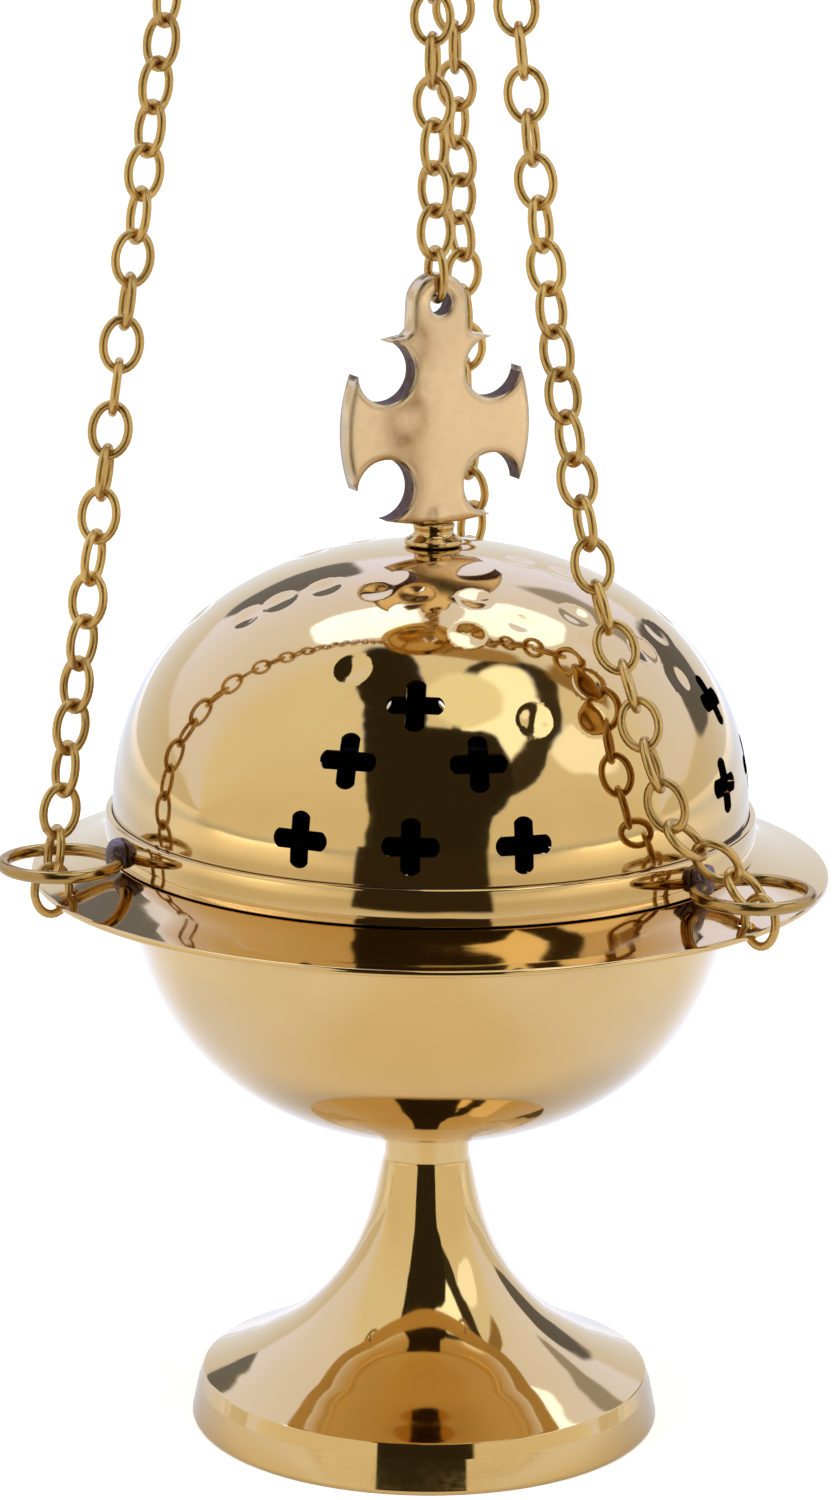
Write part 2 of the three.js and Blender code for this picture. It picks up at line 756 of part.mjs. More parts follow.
function makeLiftChain() {
  const crownNormal = polar(1, crownTurnDeg + 90, 0);
  const low = new THREE.Vector3(0, 0, liftLinkLow + linkWire / 2);
  const curve = new THREE.LineCurve3(low, liftTop);
  return makeChain(curve, crownNormal, new THREE.Vector3(1, 0, 0));
}

const pullHingeHeight = liftTop.z - linkWire / 2 - seatGap - pullWire / 2;

// Assembly
addPiece("foot", makeFoot(), polished);
addPiece("bowl", makeBowl(), polished);
addPiece("foot_bolt", makeBolt(), dull);
addPiece("foot_nut", hexNut(nutAcrossFlats, nutHeight, boltHoleRadius, nutTop), dull);
addPiece("fire_pan", makePan(), dull);
addPiece("lid", makeLid(), polished);
addPiece("finial_cross", makeCrown(), cast);
addPiece("finial_collar", washer(collarRadius, pegHoleRadius, collarLow, collarLow + collarHeight), cast);
addPiece(
  "finial_nut",
  washer(finialNutRadius, pegHoleRadius, finialNutTop - finialNutHeight, finialNutTop),
  dull,
);

chainSides.forEach((side, i) => {
  const degrees = chainDeg[i];
  addPiece("guide_ring_" + side, makeGuideRing(degrees), wireBrass);
  addPiece("brim_link_" + side, radialLink(brimLinkAt, degrees, brimLinkLow + endLinkHalf, 0), wireBrass);
  const capDegrees = degrees + capTurnDeg;
  const capLink = radialLink(capLinkAt, capDegrees, capLinkLow + endLinkHalf, capCentreX);
  addPiece("cap_link_" + side, capLink, wireBrass);
  const ends = chainEnds(degrees);
  const curve = side === "right" ? slackCurve(ends) : new THREE.LineCurve3(...ends);
  const chain = makeChain(curve, tangentWidth(degrees), tangentWidth(capDegrees));
  addPiece("chain_" + side, chain, wireBrass);
});

addPiece("lid_chain", makeLiftChain(), wireBrass);
addPiece("hand_cap", makeCap(), polished);
addPiece("cap_eye", makeCapEye(), cast);
addPiece("hang_ring", uprightRing(hangRingRadius, hangWire, capCentreX, eyeCentreHeight), wireBrass);
addPiece("pull_ring", uprightRing(pullRingRadius, pullWire, liftTop.x, pullHingeHeight), wireBrass);

// The frame's origin is the middle of the footprint, which the guide rings widen to the left and the back.
const reachLeft = guideRingAt * Math.abs(Math.cos(radians(chainDeg[0]))) + guideRingRadius;
const reachBack = guideRingAt * Math.sin(radians(chainDeg[2])) + guideRingRadius;
censer.position.set((reachLeft - brimRadius) / 2, (brimRadius - reachBack) / 2, 0);

export default censer;
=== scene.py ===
"""A hanging censer of spun and cast brass, dressed over its CAD frame.

Sizes are in millimetres, measured from the axis of the bowl and from the surface that the foot stands on.
"""

import math

import bmesh
import bpy
import numpy as np
from mathutils import Matrix, Vector
from mathutils.geometry import tessellate_polygon


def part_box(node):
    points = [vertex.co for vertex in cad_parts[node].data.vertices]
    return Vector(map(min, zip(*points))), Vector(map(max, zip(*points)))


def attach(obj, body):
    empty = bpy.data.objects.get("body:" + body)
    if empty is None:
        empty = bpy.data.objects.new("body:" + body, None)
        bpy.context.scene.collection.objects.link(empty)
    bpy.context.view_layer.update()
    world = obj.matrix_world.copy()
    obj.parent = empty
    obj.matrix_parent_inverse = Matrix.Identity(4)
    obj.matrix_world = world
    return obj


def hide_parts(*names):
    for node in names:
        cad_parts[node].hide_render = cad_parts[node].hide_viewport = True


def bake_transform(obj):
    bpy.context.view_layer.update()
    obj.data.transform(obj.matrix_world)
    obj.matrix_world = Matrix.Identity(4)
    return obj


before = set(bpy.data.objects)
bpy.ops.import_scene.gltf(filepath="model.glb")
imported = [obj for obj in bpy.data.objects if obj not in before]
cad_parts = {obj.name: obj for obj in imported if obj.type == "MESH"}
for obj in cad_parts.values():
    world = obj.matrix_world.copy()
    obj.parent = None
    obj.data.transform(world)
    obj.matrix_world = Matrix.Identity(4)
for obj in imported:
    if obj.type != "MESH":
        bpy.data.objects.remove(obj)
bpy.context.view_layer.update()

MM = 0.001
foot_low, foot_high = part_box("foot")
AXIS = (foot_low + foot_high) / 2

# Foot
FOOT_RADIUS = 35.8
FOOT_BAND_HEIGHT = 5.3
FOOT_BAND_TOP_RADIUS = 34.85
FOOT_CREASE_RADIUS = 34.1
FOOT_CREASE_HEIGHT = 7.5
FOOT_FLARE = [(30.2, 9.3), (25.6, 11.7), (18.8, 16.4), (12.8, 23.4), (9.3, 30.6)]
NECK_RADIUS = 6.5
NECK_HEIGHT = 42.2
FOOT_TOP = foot_high.z / MM
FOOT_WALL = 1.0
BOLT_HOLE_RADIUS = 2.3

# Bowl and brim
BOWL_BOTTOM = 46.4
BOWL_FLAT_RADIUS = 8.0
BOWL_RADIUS = 45.2
BOWL_WIDEST_HEIGHT = 86.6
BOWL_FULLNESS = 2.2
BOWL_WALL = 1.2
BRIM_RADIUS = 60.0
BRIM_SLOPE = math.tan(math.radians(16))
BRIM_FALL = 1 / math.cos(math.radians(16))
BRIM_SEAT_HEIGHT = 90.6
RIM_HEIGHT = 3.6
# The brim is dished a little, so that its front mirrors the lid's band and not the crosses
BRIM_DISH_AT = 55.0
BRIM_DISH = 0.36
BRIM_DISH_ROUNDING = 90
INSIDE_SHADE_EDGE = 0.2  # inside the upright rim, where the painted shade of the inside ends

# Lid
LID_RADIUS = 48.9
LID_WALL = 1.0
LID_BAND_HEIGHT = 5.2
LID_BAND_DROPS = (0.46, 0.1)  # of its outer and inner edge, so that the gap over the brim is a thin line
LID_STEP = 1.1
DOME_HEIGHT = 40.1
DOME_FULLNESS = 2.15
PEG_HOLE_RADIUS = 1.7
SEAT_GAP = 0.3
RUNNING_GAP = 0.4

# Pierced crosses
CROSS_SPAN = 8.3
CROSS_ARM = 2.8
CROSS_TIP_RISE = 0.8
CROSS_ROWS = [(5.7, 3, 19.6), (17.0, 2, 24.3), (24.4, 1, 0.0)]  # height, count and spacing in degrees
# Middle in degrees, how much higher the group was punched, and its rows: one group lacks the top cross
CROSS_GROUPS = [(-93.4, 0, 3), (-4, 2.6, 2), (157, 0, 3), (83.5, 0, 3)]

# Small hammer dents: the ones in view by their pixels in the photograph, the rest spread at random
DENT_RADIUS = 3.1
DENT_DEPTH = 0.3
DENTS_IN_VIEW = [
    (325, 587), (375, 591), (417, 593), (475, 599), (519, 561), (562, 573), (247, 617),
    (280, 601), (352, 669), (468, 634), (521, 622), (576, 615), (590, 647), (589, 684),
    (592, 720), (535, 720), (643, 650), (658, 633), (665, 617), (679, 679),
]
DENTS_BEHIND = 34
DENT_RISES = (0.3, 0.97)  # shares of the dome's height
DENT_SPACING = 5.5
DENT_CROSS_SPACING = 7
DENTED_SKIN = 0.004  # how far from level 1 a point of the dome may be to be pressed in

# Finial
CROWN_TIP = (8.5, 13.3)  # half the width between an arm's tips, and their distance from the middle
CROWN_WAIST = 8.2  # between two bites, across an arm
CROWN_BULGE = (0.9, 1.5)  # of the upright arms' ends and of the side arms' ends, beyond their tips
CROWN_THICKNESS = 3.2
CROWN_TURN = math.radians(26)
CROWN_EYE_RADIUS = 4.3
CROWN_EYE_HOLE_RADIUS = 1.75
CROWN_EYE_RISE = 4.4
CROWN_HEIGHT = 28.4
CROWN_EDGE = 0.3
PEG_RADIUS = 1.4
PEG_REACH = (-4.5, 2)  # from the lid's top down, and up into the cross
COLLAR_RADIUS = 2.8
COLLAR_FOOT_RADIUS = 4.4
COLLAR_HEIGHT = 2.8
COLLAR_OVERLAP = 0.2  # with the lid below and the cross above

# Guide rings, chains and links
GUIDE_RING_SET = 1.27
GUIDE_WIRE = 1.9
GUIDE_RING_LIFT = 1.5
GUIDE_RING_PLAY = 0.15
BRAZE_HALF = (1.6, 2.3, 2.6)  # away from the lid, along its band and up
BRAZE_OUT = 0.8
BRAZE_UP = 0.5
CHAIN_DEG = {"left": -157.5, "right": -37.5, "back": 82.5}
WIRE = 1.3
CAD_WIRE = 1.0
LINK_WIDTH = 6.6
LINK_PITCH = 6.15
LINK_SINK = 0.1
LINK_END_WIDTH = 3.8
LINK_HANG_GAP = 0.6
CHAIN_HOLE_RADIUS = 1.45
CHAIN_HOLE_INSET = 2.6
# The slack chain's route: its angle, its height above the groove, and how far it lies outside the dome
SLACK_ROUTE = [
    (-43.2, 2.6, 6.8), (-48.2, 6.2, 5.4), (-49.8, 10.6, 5.2), (-50.6, 15.6, 5),
    (-50.4, 21.1, 4.9), (-48.3, 28.1, 5.6), (-47.9, 36.6, 14.6), (-48.2, 48.6, 32.4),
    (-49.3, 65.6, 28.2), (-52.8, 89.6, 24.6), (-59.1, 117.6, 22),
]
SLACK_SPLIT = 21.1  # above the groove
SLACK_HELD = (113.0, 136.0)  # two heights given for the slack chain's lower and upper piece

# Cap and rings
CAP_X = -9.4
CAP_TURN = -15
CAP_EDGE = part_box("hand_cap")[0].z / MM
CAP_RADIUS = 25.0
CAP_DOME_HEIGHT = 5.5
CAP_WALL = 1.2
CAP_RIM_WIDTH = 5.0
CAP_ROUNDING = 0.35
LIFT_HOLE_RADIUS = 4.6
LIFT_LEAN = 2.6
LIFT_RISE = 6.0
LID_TRAVEL = 15.0
EYE_INNER_RADIUS = 1.9
EYE_WIRE = 1.2
EYE_POST_RADIUS = 1.1
EYE_POST_RISE = 1.6
EYE_SHOULDER_RADIUS = 1.9
EYE_SHOULDER_HEIGHTS = (1.0, 1.2)  # of its edge and of its top
HANG_RING_RADIUS = 17.0
HANG_WIRE = 2.8
PULL_RING_RADIUS = 10.0
PULL_WIRE = 2.0

# Fire pan
PAN_RIM_HEIGHT = 70.0
PAN_FLOOR_RADIUS = 22.0
PAN_DEPTH = 14.0
PAN_WALL = 1.0
PAN_LIP = (2.2, 3.2)  # its width below and above
# Where the side turns up, outside and inside: its radius and its height above the floor
PAN_BEND_OUTSIDE = (31.2, 6.3)
PAN_BEND_INSIDE = (30.2, 6.8)
PAN_FLOOR_ROUNDING = 6
PAN_SIDE_ROUNDING = 8
PAN_RADIUS = (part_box("fire_pan")[1].x - AXIS.x) / MM

# Camera
PHOTO_WIDTH = 834
PHOTO_HEIGHT = 1500
CAMERA_DISTANCE = 757.0
CAMERA_ELEVATION = math.radians(13.3)
CAMERA_ROLL = math.radians(0.6)
CAMERA_AIM = (-2.15, 0.0, 105.0)
CAMERA_X = -0.35
CAMERA_SEES = (0.01, 100)  # nearest and farthest, in metres
FOCAL_PIXELS = 5045.0
SENSOR = 36.0
SIGHT_STEPS = 4000  # in which a line of sight is searched for the dome

# How finely shapes are made
BODY_SIDES = 256
DOME_SIDES = 400
DOME_STEPS = 96
SMALL_SIDES = 48
LINK_SIDES = (26, 12)  # along a link's wire and round it
SHARP_EDGE = math.radians(40)

UP = (0, 0, 1)
rng = np.random.default_rng(7)


# Places and outlines


def place(points):
    """Points in millimetres from the axis become points in the frame, in metres."""
    return np.asarray(points, float) * MM + np.array([AXIS.x, AXIS.y, 0.0])


def in_millimetres(points):
    """Points in the frame become points in millimetres from the axis."""
    return (points - place([0, 0, 0])) / MM


def unit(v):
    return v / np.linalg.norm(v)


def lengths(rows):
    return np.linalg.norm(rows, axis=1)


def polar(radius, degrees, height, centre_x=0.0):
    a = math.radians(degrees)
    return np.array([centre_x + radius * math.cos(a), radius * math.sin(a), height])


def arc(centre, radius, first, last, steps):
    x, y = centre
    return [(x + radius * math.cos(a), y + radius * math.sin(a)) for a in np.linspace(first, last, steps)]


def circle_outline(radius, count=40):
    return arc((0, 0), radius, 0, 2 * math.pi, count + 1)[:-1]


def softened(corners, steps=4):
    """An outline of (radius, height) points. A third number is the radius of a rounded corner."""
    out = []
    for i, corner in enumerate(corners):
        p = np.array(corner[:2], float)
        if len(corner) < 3:
            out.append(tuple(p))
            continue
        before = np.array(corners[i - 1][:2], float) - p
        after = np.array(corners[(i + 1) % len(corners)][:2], float) - p
        u, v = unit(before), unit(after)
        half = math.acos(float(np.clip(u @ v, -1, 1))) / 2
        reach = min(corner[2] / math.tan(half), 0.45 * np.linalg.norm(before), 0.45 * np.linalg.norm(after))
        radius = reach * math.tan(half)
        centre = p + unit(u + v) * (radius / math.sin(half))
        start, end = p + u * reach - centre, p + v * reach - centre
        first = math.atan2(start[1], start[0])
        sweep = (math.atan2(end[1], end[0]) - first + math.pi) % (2 * math.pi) - math.pi
        out += arc(centre, radius, first, first + sweep, steps + 1)
    return out


def shell_outline(radius, height, fullness, steps, lowest_radius):
    """A rounded shell from its widest circle in to a lowest radius. A fullness of 2 is an ellipse."""
    last = math.acos((lowest_radius / radius) ** (fullness / 2))
    power = 2 / fullness
    angles = np.linspace(0, last, steps + 1)
    return [(radius * math.cos(a) ** power, height * math.sin(a) ** power) for a in angles]


def smooth_curve(points, samples):
    """A centripetal curve through the points, evenly sampled by its parameter."""
    p = np.array(points, float)
    p = np.vstack([2 * p[0] - p[1], p, 2 * p[-1] - p[-2]])
    out = []
    for i in range(1, len(p) - 2):
        knots = [0.0]
        for a, b in zip(p[i - 1 : i + 2], p[i : i + 3]):
            knots.append(knots[-1] + math.sqrt(np.linalg.norm(b - a)))
        for t in np.linspace(knots[1], knots[2], samples, endpoint=False):
            level = list(p[i - 1 : i + 3])
            for first, last in ((0, 1), (0, 2), (1, 2)):
                # Each round mixes neighbours, and the last one leaves a single point
                spans = zip(knots[first:], knots[last:], level, level[1:])
                level = [((high - t) * a + (t - low) * b) / (high - low) for low, high, a, b in spans]
            out.append(level[0])
    out.append(p[-2])
    return np.array(out)


# Meshes


def linked(name, data):
    obj = bpy.data.objects.new(name, data)
    bpy.context.scene.collection.objects.link(obj)
    return obj


def plain_mesh(name, points, edges, faces, *materials):
    """A mesh from points in metres."""
    mesh = bpy.data.meshes.new(name)
    mesh.from_pydata([tuple(p) for p in points], edges, faces)
    for material in materials:
        mesh.materials.append(material)
    return mesh


def face_outwards(mesh):
    work = bmesh.new()
    work.from_mesh(mesh)
    bmesh.ops.recalc_face_normals(work, faces=work.faces)
    work.to_mesh(mesh)
    work.free()


def mesh_object(name, points, faces, material):
    """A smooth mesh whose faces point outwards. Points are in millimetres from the axis."""
    mesh = plain_mesh(name, place(points), [], faces, material)
    face_outwards(mesh)
    mesh.shade_smooth()
    return linked(name, mesh)


def lathe(name, outline, sides, material, centre_x=0.0):
    """A closed outline turned about the axis. An outline that starts and ends on the axis closes there."""
    angles = np.linspace(0, 2 * math.pi, sides, endpoint=False)
    points, rings = [], []
    for r, z in outline:
        if r < 1e-6:
            rings.append([len(points)] * sides)
            points.append((centre_x, 0.0, z))
        else:
            rings.append(list(range(len(points), len(points) + sides)))
            points += [(centre_x + r * math.cos(a), r * math.sin(a), z) for a in angles]
    pairs = list(zip(rings, rings[1:]))
    if outline[0][0] > 1e-6:
        pairs.append((rings[-1], rings[0]))
    faces = []
    for low, high in pairs:
        for k in range(sides):
            n = (k + 1) % sides
            face = list(dict.fromkeys([low[k], low[n], high[n], high[k]]))
            if len(face) > 2:
                faces.append(face)
    return mesh_object(name, points, faces, material)


def ring(name, centre, axis, centre_radius, wire, material, sides=96, around=14):
    """A ring of round wire about an axis through its centre."""
    z = Vector(axis).normalized()
    x = z.orthogonal().normalized()
    y = z.cross(x)
    points, faces = [], []
    for i in range(sides):
        a = 2 * math.pi * i / sides
        out = x * math.cos(a) + y * math.sin(a)
        here, there = i * around, (i + 1) % sides * around
        for k in range(around):
            b = 2 * math.pi * k / around
            n = (k + 1) % around
            p = Vector(centre) + out * (centre_radius + wire / 2 * math.cos(b)) + z * (wire / 2 * math.sin(b))
            points.append(tuple(p))
            faces.append([here + k, there + k, there + n, here + n])
    return mesh_object(name, points, faces, material)


def applied(obj):
    """The object's evaluated shape becomes its plain mesh, and its modifiers go."""
    graph = bpy.context.evaluated_depsgraph_get()
    shape = obj.evaluated_get(graph)
    mesh = bpy.data.meshes.new_from_object(shape, preserve_all_data_layers=True, depsgraph=graph)
    mesh.name = obj.name
    obj.modifiers.clear()
    obj.data = mesh
    return obj


def joined(name, pieces):
    """Several meshes in one piece, with their materials."""
    work = bmesh.new()
    materials = []
    for piece in pieces:
        first = len(work.faces)
        work.from_mesh(piece.data)
        work.faces.ensure_lookup_table()
        for face in work.faces[first:]:
            material = piece.data.materials[face.material_index]
            if material not in materials:
                materials.append(material)
            face.material_index = materials.index(material)
    mesh = plain_mesh(name, [], [], [], *materials)
    work.to_mesh(mesh)
    work.free()
    for piece in pieces:
        bpy.data.objects.remove(piece)
    return linked(name, mesh)


def crisp(obj):
    """Sharp edges stay sharp, and flats keep their own direction."""
    obj.data.set_sharp_from_angle(angle=SHARP_EDGE)
    weights = obj.modifiers.new("flats", "WEIGHTED_NORMAL")
    weights.keep_sharp = True
    weights.weight = 50
    return applied(obj)


def dress(obj, body, slot, *nodes):
    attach(obj, body)
    if nodes:
        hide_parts(*nodes)
    return obj


# Materials


def linear(text):
    """An sRGB hex colour as linear RGBA."""
    out = []
    for i in (0, 2, 4):
        c = int(text[i : i + 2], 16) / 255
        out.append(c / 12.92 if c <= 0.04045 else ((c + 0.055) / 1.055) ** 2.4)
    return (*out, 1.0)


def add(tree, kind, inputs=(), **settings):
    """Adds a node. Its inputs are values, sockets or nodes, in order or by name or number."""
    made = tree.nodes.new(kind)
    for key, value in settings.items():
        setattr(made, key, value)
    for key, value in inputs.items() if isinstance(inputs, dict) else enumerate(inputs):
        if isinstance(value, bpy.types.Node):
            value = value.outputs[0]  # a node stands for its first output
        if isinstance(value, bpy.types.NodeSocket):
            tree.links.new(value, made.inputs[key])
        else:
            made.inputs[key].default_value = value
    return made


def new_material(name):
    material = bpy.data.materials.new(name)
    material.use_nodes = True
    material.node_tree.nodes.clear()
    return material, material.node_tree


CLOUD_SIZE = 14  # of the patches in which a metal's two tones change
GRAIN_SIZE = 1.1  # of the patches in which its roughness changes
LACQUER_ROUGHNESS = 0.03


def metal(name, colour, second, roughness, spread, wave, wave_size, marks=0.0, marks_size=0.3, metallic=1.0,
          centre_x=0.0, lacquer=0.0, soft_edge=0.0):
    """A metal in two close tones, with its least roughness and how much more it gets.

    wave and wave_size are the depth and size of its unevenness in mm, and marks and marks_size those of its
    turning marks. soft_edge is how far its worn edges reach.
    """
    material, tree = new_material(name)
    centred = add(tree, "ShaderNodeMapping", {
        "Vector": add(tree, "ShaderNodeTexCoord").outputs["Object"],
        "Location": (-AXIS.x - centre_x * MM, -AXIS.y, 0.0),
    })
    cloud, grain, unevenness = [
        add(tree, "ShaderNodeTexNoise", {"Vector": centred, "Scale": 1 / (size * MM), "Detail": detail})
        for size, detail in ((CLOUD_SIZE, 3.0), (GRAIN_SIZE, 2.0), (wave_size, 1.0))
    ]
    tone = add(tree, "ShaderNodeMix", {0: cloud, 6: linear(colour), 7: linear(second)}, data_type="RGBA")
    rough = add(tree, "ShaderNodeMapRange", (grain, 0.3, 0.7, roughness, roughness + spread))
    relief = {"Height": unevenness, "Strength": 1.0, "Distance": wave * MM}
    if soft_edge:
        relief["Normal"] = add(tree, "ShaderNodeBevel", {"Radius": soft_edge * MM}, samples=8)
    normal = add(tree, "ShaderNodeBump", relief)
    if marks:
        x, y, z = add(tree, "ShaderNodeSeparateXYZ", [centred]).outputs
        flat = add(tree, "ShaderNodeCombineXYZ", [x, y])
        radius = add(tree, "ShaderNodeVectorMath", [flat], operation="LENGTH").outputs["Value"]
        along = add(tree, "ShaderNodeMath", [radius, z], operation="ADD")
        turns = add(tree, "ShaderNodeMath", [along, 1 / (marks_size * MM)], operation="MULTIPLY")
        lines = {"W": turns, "Scale": 1.0, "Detail": 1.0}
        normal = add(tree, "ShaderNodeBump", {
            "Height": add(tree, "ShaderNodeTexNoise", lines, noise_dimensions="1D"),
            "Strength": 1.0,
            "Distance": marks * MM,
            "Normal": normal,
        })
    shader = add(tree, "ShaderNodeBsdfPrincipled", {
        "Base Color": tone.outputs[2],
        "Metallic": metallic,
        "Roughness": rough,
        "Normal": normal,
        "Coat Weight": lacquer,
        "Coat Roughness": LACQUER_ROUGHNESS,
    })
    add(tree, "ShaderNodeOutputMaterial", [shader])
    return material


SHEET_TONES = "D5B068", "CDA65E"
# Cartridge brass, spun on a lathe, buffed and lacquered: a warm mirror that turns silvery towards its edges
SPUN = metal("spun_brass_lacquered", *SHEET_TONES, 0.05, 0.03, 0.03, 9, marks=0.0012, marks_size=0.5,
             lacquer=1.0)
# The same sheet after the hammer: its reflections waver
WAVY = metal("spun_brass_hammered", *SHEET_TONES, 0.04, 0.03, 0.12, 12, marks=0.001, marks_size=0.5,
             lacquer=1.0)
# The same sheet on the cap, spun about its own axis
CAP_BRASS = metal("cap_brass_lacquered", *SHEET_TONES, 0.07, 0.04, 0.03, 7, marks=0.002, lacquer=1.0,
                  centre_x=CAP_X)
# The inside of the sheet, left from the spinning: dull, and painted nearly black as shade, so that the
# insides and the pierced crosses show dark
PAINTED_INSIDE_SHADE = metal("spun_brass_smoked", "1E1812", "120E0A", 0.7, 0.2, 0.05, 3, metallic=0.3)
# Leaded brass cast in sand and filed: a satin, slightly pink face with soft edges
CAST = metal("cast_brass_filed", "D6BA90", "C9AA7E", 0.13, 0.06, 0.03, 6, soft_edge=1.6)
# The same casting, dull and dark brown on the walls of the bites between the arms and of the eye hole
DARK_WALL_CAST = metal("cast_brass_unfiled", "6E5246", "48342C", 0.45, 0.2, 0.12, 0.9)
# Brass rod turned and buffed: a paler mirror with fine rings
TURNED = metal("turned_brass", "CFAE72", "BF9A58", 0.1, 0.05, 0.02, 3, marks=0.003)
# Drawn brass wire, bent and hard-soldered: yellower than the sheet, softly shining, brown in its hollows
DRAWN = metal("drawn_brass_wire", "DFB668", "A37E43", 0.26, 0.12, 0.03, 1.3, metallic=0.96)
# The same wire, thicker and polished, in the rings: darker, with a sharper shine
RING_WIRE = metal("ring_wire_polished", "BC9858", "94703C", 0.16, 0.08, 0.03, 2.5)
# Silver braze left as it froze: purple-grey and lumpy
BRAZE = metal("braze_unpolished", "94847F", "5C4C50", 0.32, 0.2, 0.3, 1.1)
# Sheet brass tarnished by the heat of charcoal: brown and dull
TARNISHED = metal("sheet_brass_tarnished", "8A6C40", "5A4428", 0.4, 0.2, 0.05, 3, marks=0.004)


# Geometry trees


def new_tree(name, inputs):
    """A geometry tree with named inputs. Returns it with what it is given."""
    tree = bpy.data.node_groups.new(name, "GeometryNodeTree")
    tree.is_modifier = True
    for label, kind in {"Geometry": "Geometry", **inputs}.items():
        tree.interface.new_socket(label, in_out="INPUT", socket_type="NodeSocket" + kind)
    tree.interface.new_socket("Geometry", in_out="OUTPUT", socket_type="NodeSocketGeometry")
    return tree, tree.nodes.new("NodeGroupInput").outputs


def end_tree(tree, result, material):
    real = add(tree, "GeometryNodeRealizeInstances", [result])
    done = add(tree, "GeometryNodeSetMaterial", {"Geometry": real, "Material": material})
    add(tree, "NodeGroupOutput", [done])
    return tree


def run_tree(obj, tree, values):
    """Runs a tree on an object with values for its named inputs, and keeps the plain mesh."""
    modifier = obj.modifiers.new(tree.name, "NODES")
    modifier.node_group = tree
    for item in tree.interface.items_tree:
        if item.in_out == "INPUT" and item.name in values:
            modifier[item.identifier] = values[item.name]
    return applied(obj)


def chain_tree():
    """Oval links of round wire along a run, each turned from the last."""
    tree, given = new_tree("chain_of_links", {
        "Links": "Int",
        "Link length": "Float",
        "Link width": "Float",
        "Wire": "Float",
        "First width": "Vector",
        "Turn": "Float",
        "Material": "Material",
    })
    length, width = [
        add(tree, "ShaderNodeMath", [given[side], given["Wire"]], operation="SUBTRACT")
        for side in ("Link length", "Link width")
    ]
    thick = add(tree, "ShaderNodeMath", [given["Wire"], 0.5], operation="MULTIPLY")
    size = add(tree, "ShaderNodeCombineXYZ", [length, width, 1.0])
    round_one = add(tree, "GeometryNodeCurvePrimitiveCircle", {"Resolution": LINK_SIDES[0], "Radius": 0.5})
    oval = add(tree, "GeometryNodeTransform", {"Geometry": round_one, "Scale": size})
    wire = add(tree, "GeometryNodeCurvePrimitiveCircle", {"Resolution": LINK_SIDES[1], "Radius": thick})
    link = add(tree, "GeometryNodeCurveToMesh", {"Curve": oval, "Profile Curve": wire})
    smooth = add(tree, "GeometryNodeSetShadeSmooth", [link])
    run = add(tree, "GeometryNodeMeshToCurve", [given["Geometry"]])
    index = add(tree, "GeometryNodeInputIndex")
    middle = add(tree, "ShaderNodeMath", [index, 0.5], operation="ADD")
    share = add(tree, "ShaderNodeMath", [middle, given["Links"]], operation="DIVIDE")
    sample = add(tree, "GeometryNodeSampleCurve", {"Curves": run, "Factor": share}, mode="FACTOR",
                 use_all_curves=True).outputs
    angle = add(tree, "ShaderNodeMath", [index, given["Turn"]], operation="MULTIPLY")
    across = add(tree, "ShaderNodeVectorRotate", {
        "Vector": given["First width"],
        "Axis": sample["Tangent"],
        "Angle": angle,
    }, rotation_type="AXIS_ANGLE")
    facing = add(tree, "FunctionNodeAxesToRotation", [sample["Tangent"], across],
                 primary_axis="X", secondary_axis="Y")
    spots = add(tree, "GeometryNodePoints", {"Count": given["Links"], "Position": sample["Position"]})
    placed = {"Points": spots, "Instance": smooth, "Rotation": facing}
    links = add(tree, "GeometryNodeInstanceOnPoints", placed)
    return end_tree(tree, links, given["Material"])


def punch_tree():
    """Holes of a punch's shape through a shell, one at each mark, facing as the mark says."""
    tree, given = new_tree("punched_holes", {"Punch": "Object", "Marks": "Object", "Material": "Material"})
    punch, marks = [
        add(tree, "GeometryNodeObjectInfo", [given[which]], transform_space="ORIGINAL").outputs["Geometry"]
        for which in ("Punch", "Marks")
    ]
    outward, upward = [
        add(tree, "GeometryNodeInputNamedAttribute", {"Name": which}, data_type="FLOAT_VECTOR")
        for which in ("outward", "upward")
    ]
    facing = add(tree, "FunctionNodeAxesToRotation", [outward, upward], primary_axis="Z", secondary_axis="Y")
    placed = {"Points": marks, "Instance": punch, "Rotation": facing}
    real = add(tree, "GeometryNodeRealizeInstances", [add(tree, "GeometryNodeInstanceOnPoints", placed)])
    cut = add(tree, "GeometryNodeMeshBoolean", {"Mesh 1": given["Geometry"], "Mesh 2": real},
              operation="DIFFERENCE", solver="MANIFOLD")
    return end_tree(tree, cut, given["Material"])


CHAIN_TREE = chain_tree()
PUNCH_TREE = punch_tree()


def punched(obj, outline, depth, marks, material):
    """Cuts holes of an outline, in millimetres, at marks of (point, outward, upward)."""
    count = len(outline)
    points = np.array([(x, y, z) for z in (-depth, depth) for x, y in outline]) * MM
    faces = [list(range(count))[::-1], list(range(count, 2 * count))]
    faces += [[i, (i + 1) % count, (i + 1) % count + count, i + count] for i in range(count)]
    spots = plain_mesh("marks", place([m[0] for m in marks]), [], [])
    for i, name in enumerate(("outward", "upward"), 1):
        values = np.array([m[i] for m in marks], np.float32).ravel()
        spots.attributes.new(name, "FLOAT_VECTOR", "POINT").data.foreach_set("vector", values)
    helpers = [linked("punch", plain_mesh("punch", points, [], faces)), linked("marks", spots)]
    made = run_tree(obj, PUNCH_TREE, {"Punch": helpers[0], "Marks": helpers[1], "Material": material})
    for helper in helpers:
        bpy.data.objects.remove(helper)
    return made


def chain_holes(obj, radius, turn, height, depth, material, centre_x=0.0):
    """Holes for the three chains' end links."""
    marks = [(polar(radius, d + turn, height, centre_x), UP, (0, 1, 0)) for d in CHAIN_DEG.values()]
    return punched(obj, circle_outline(CHAIN_HOLE_RADIUS), depth, marks, material)


# Foot


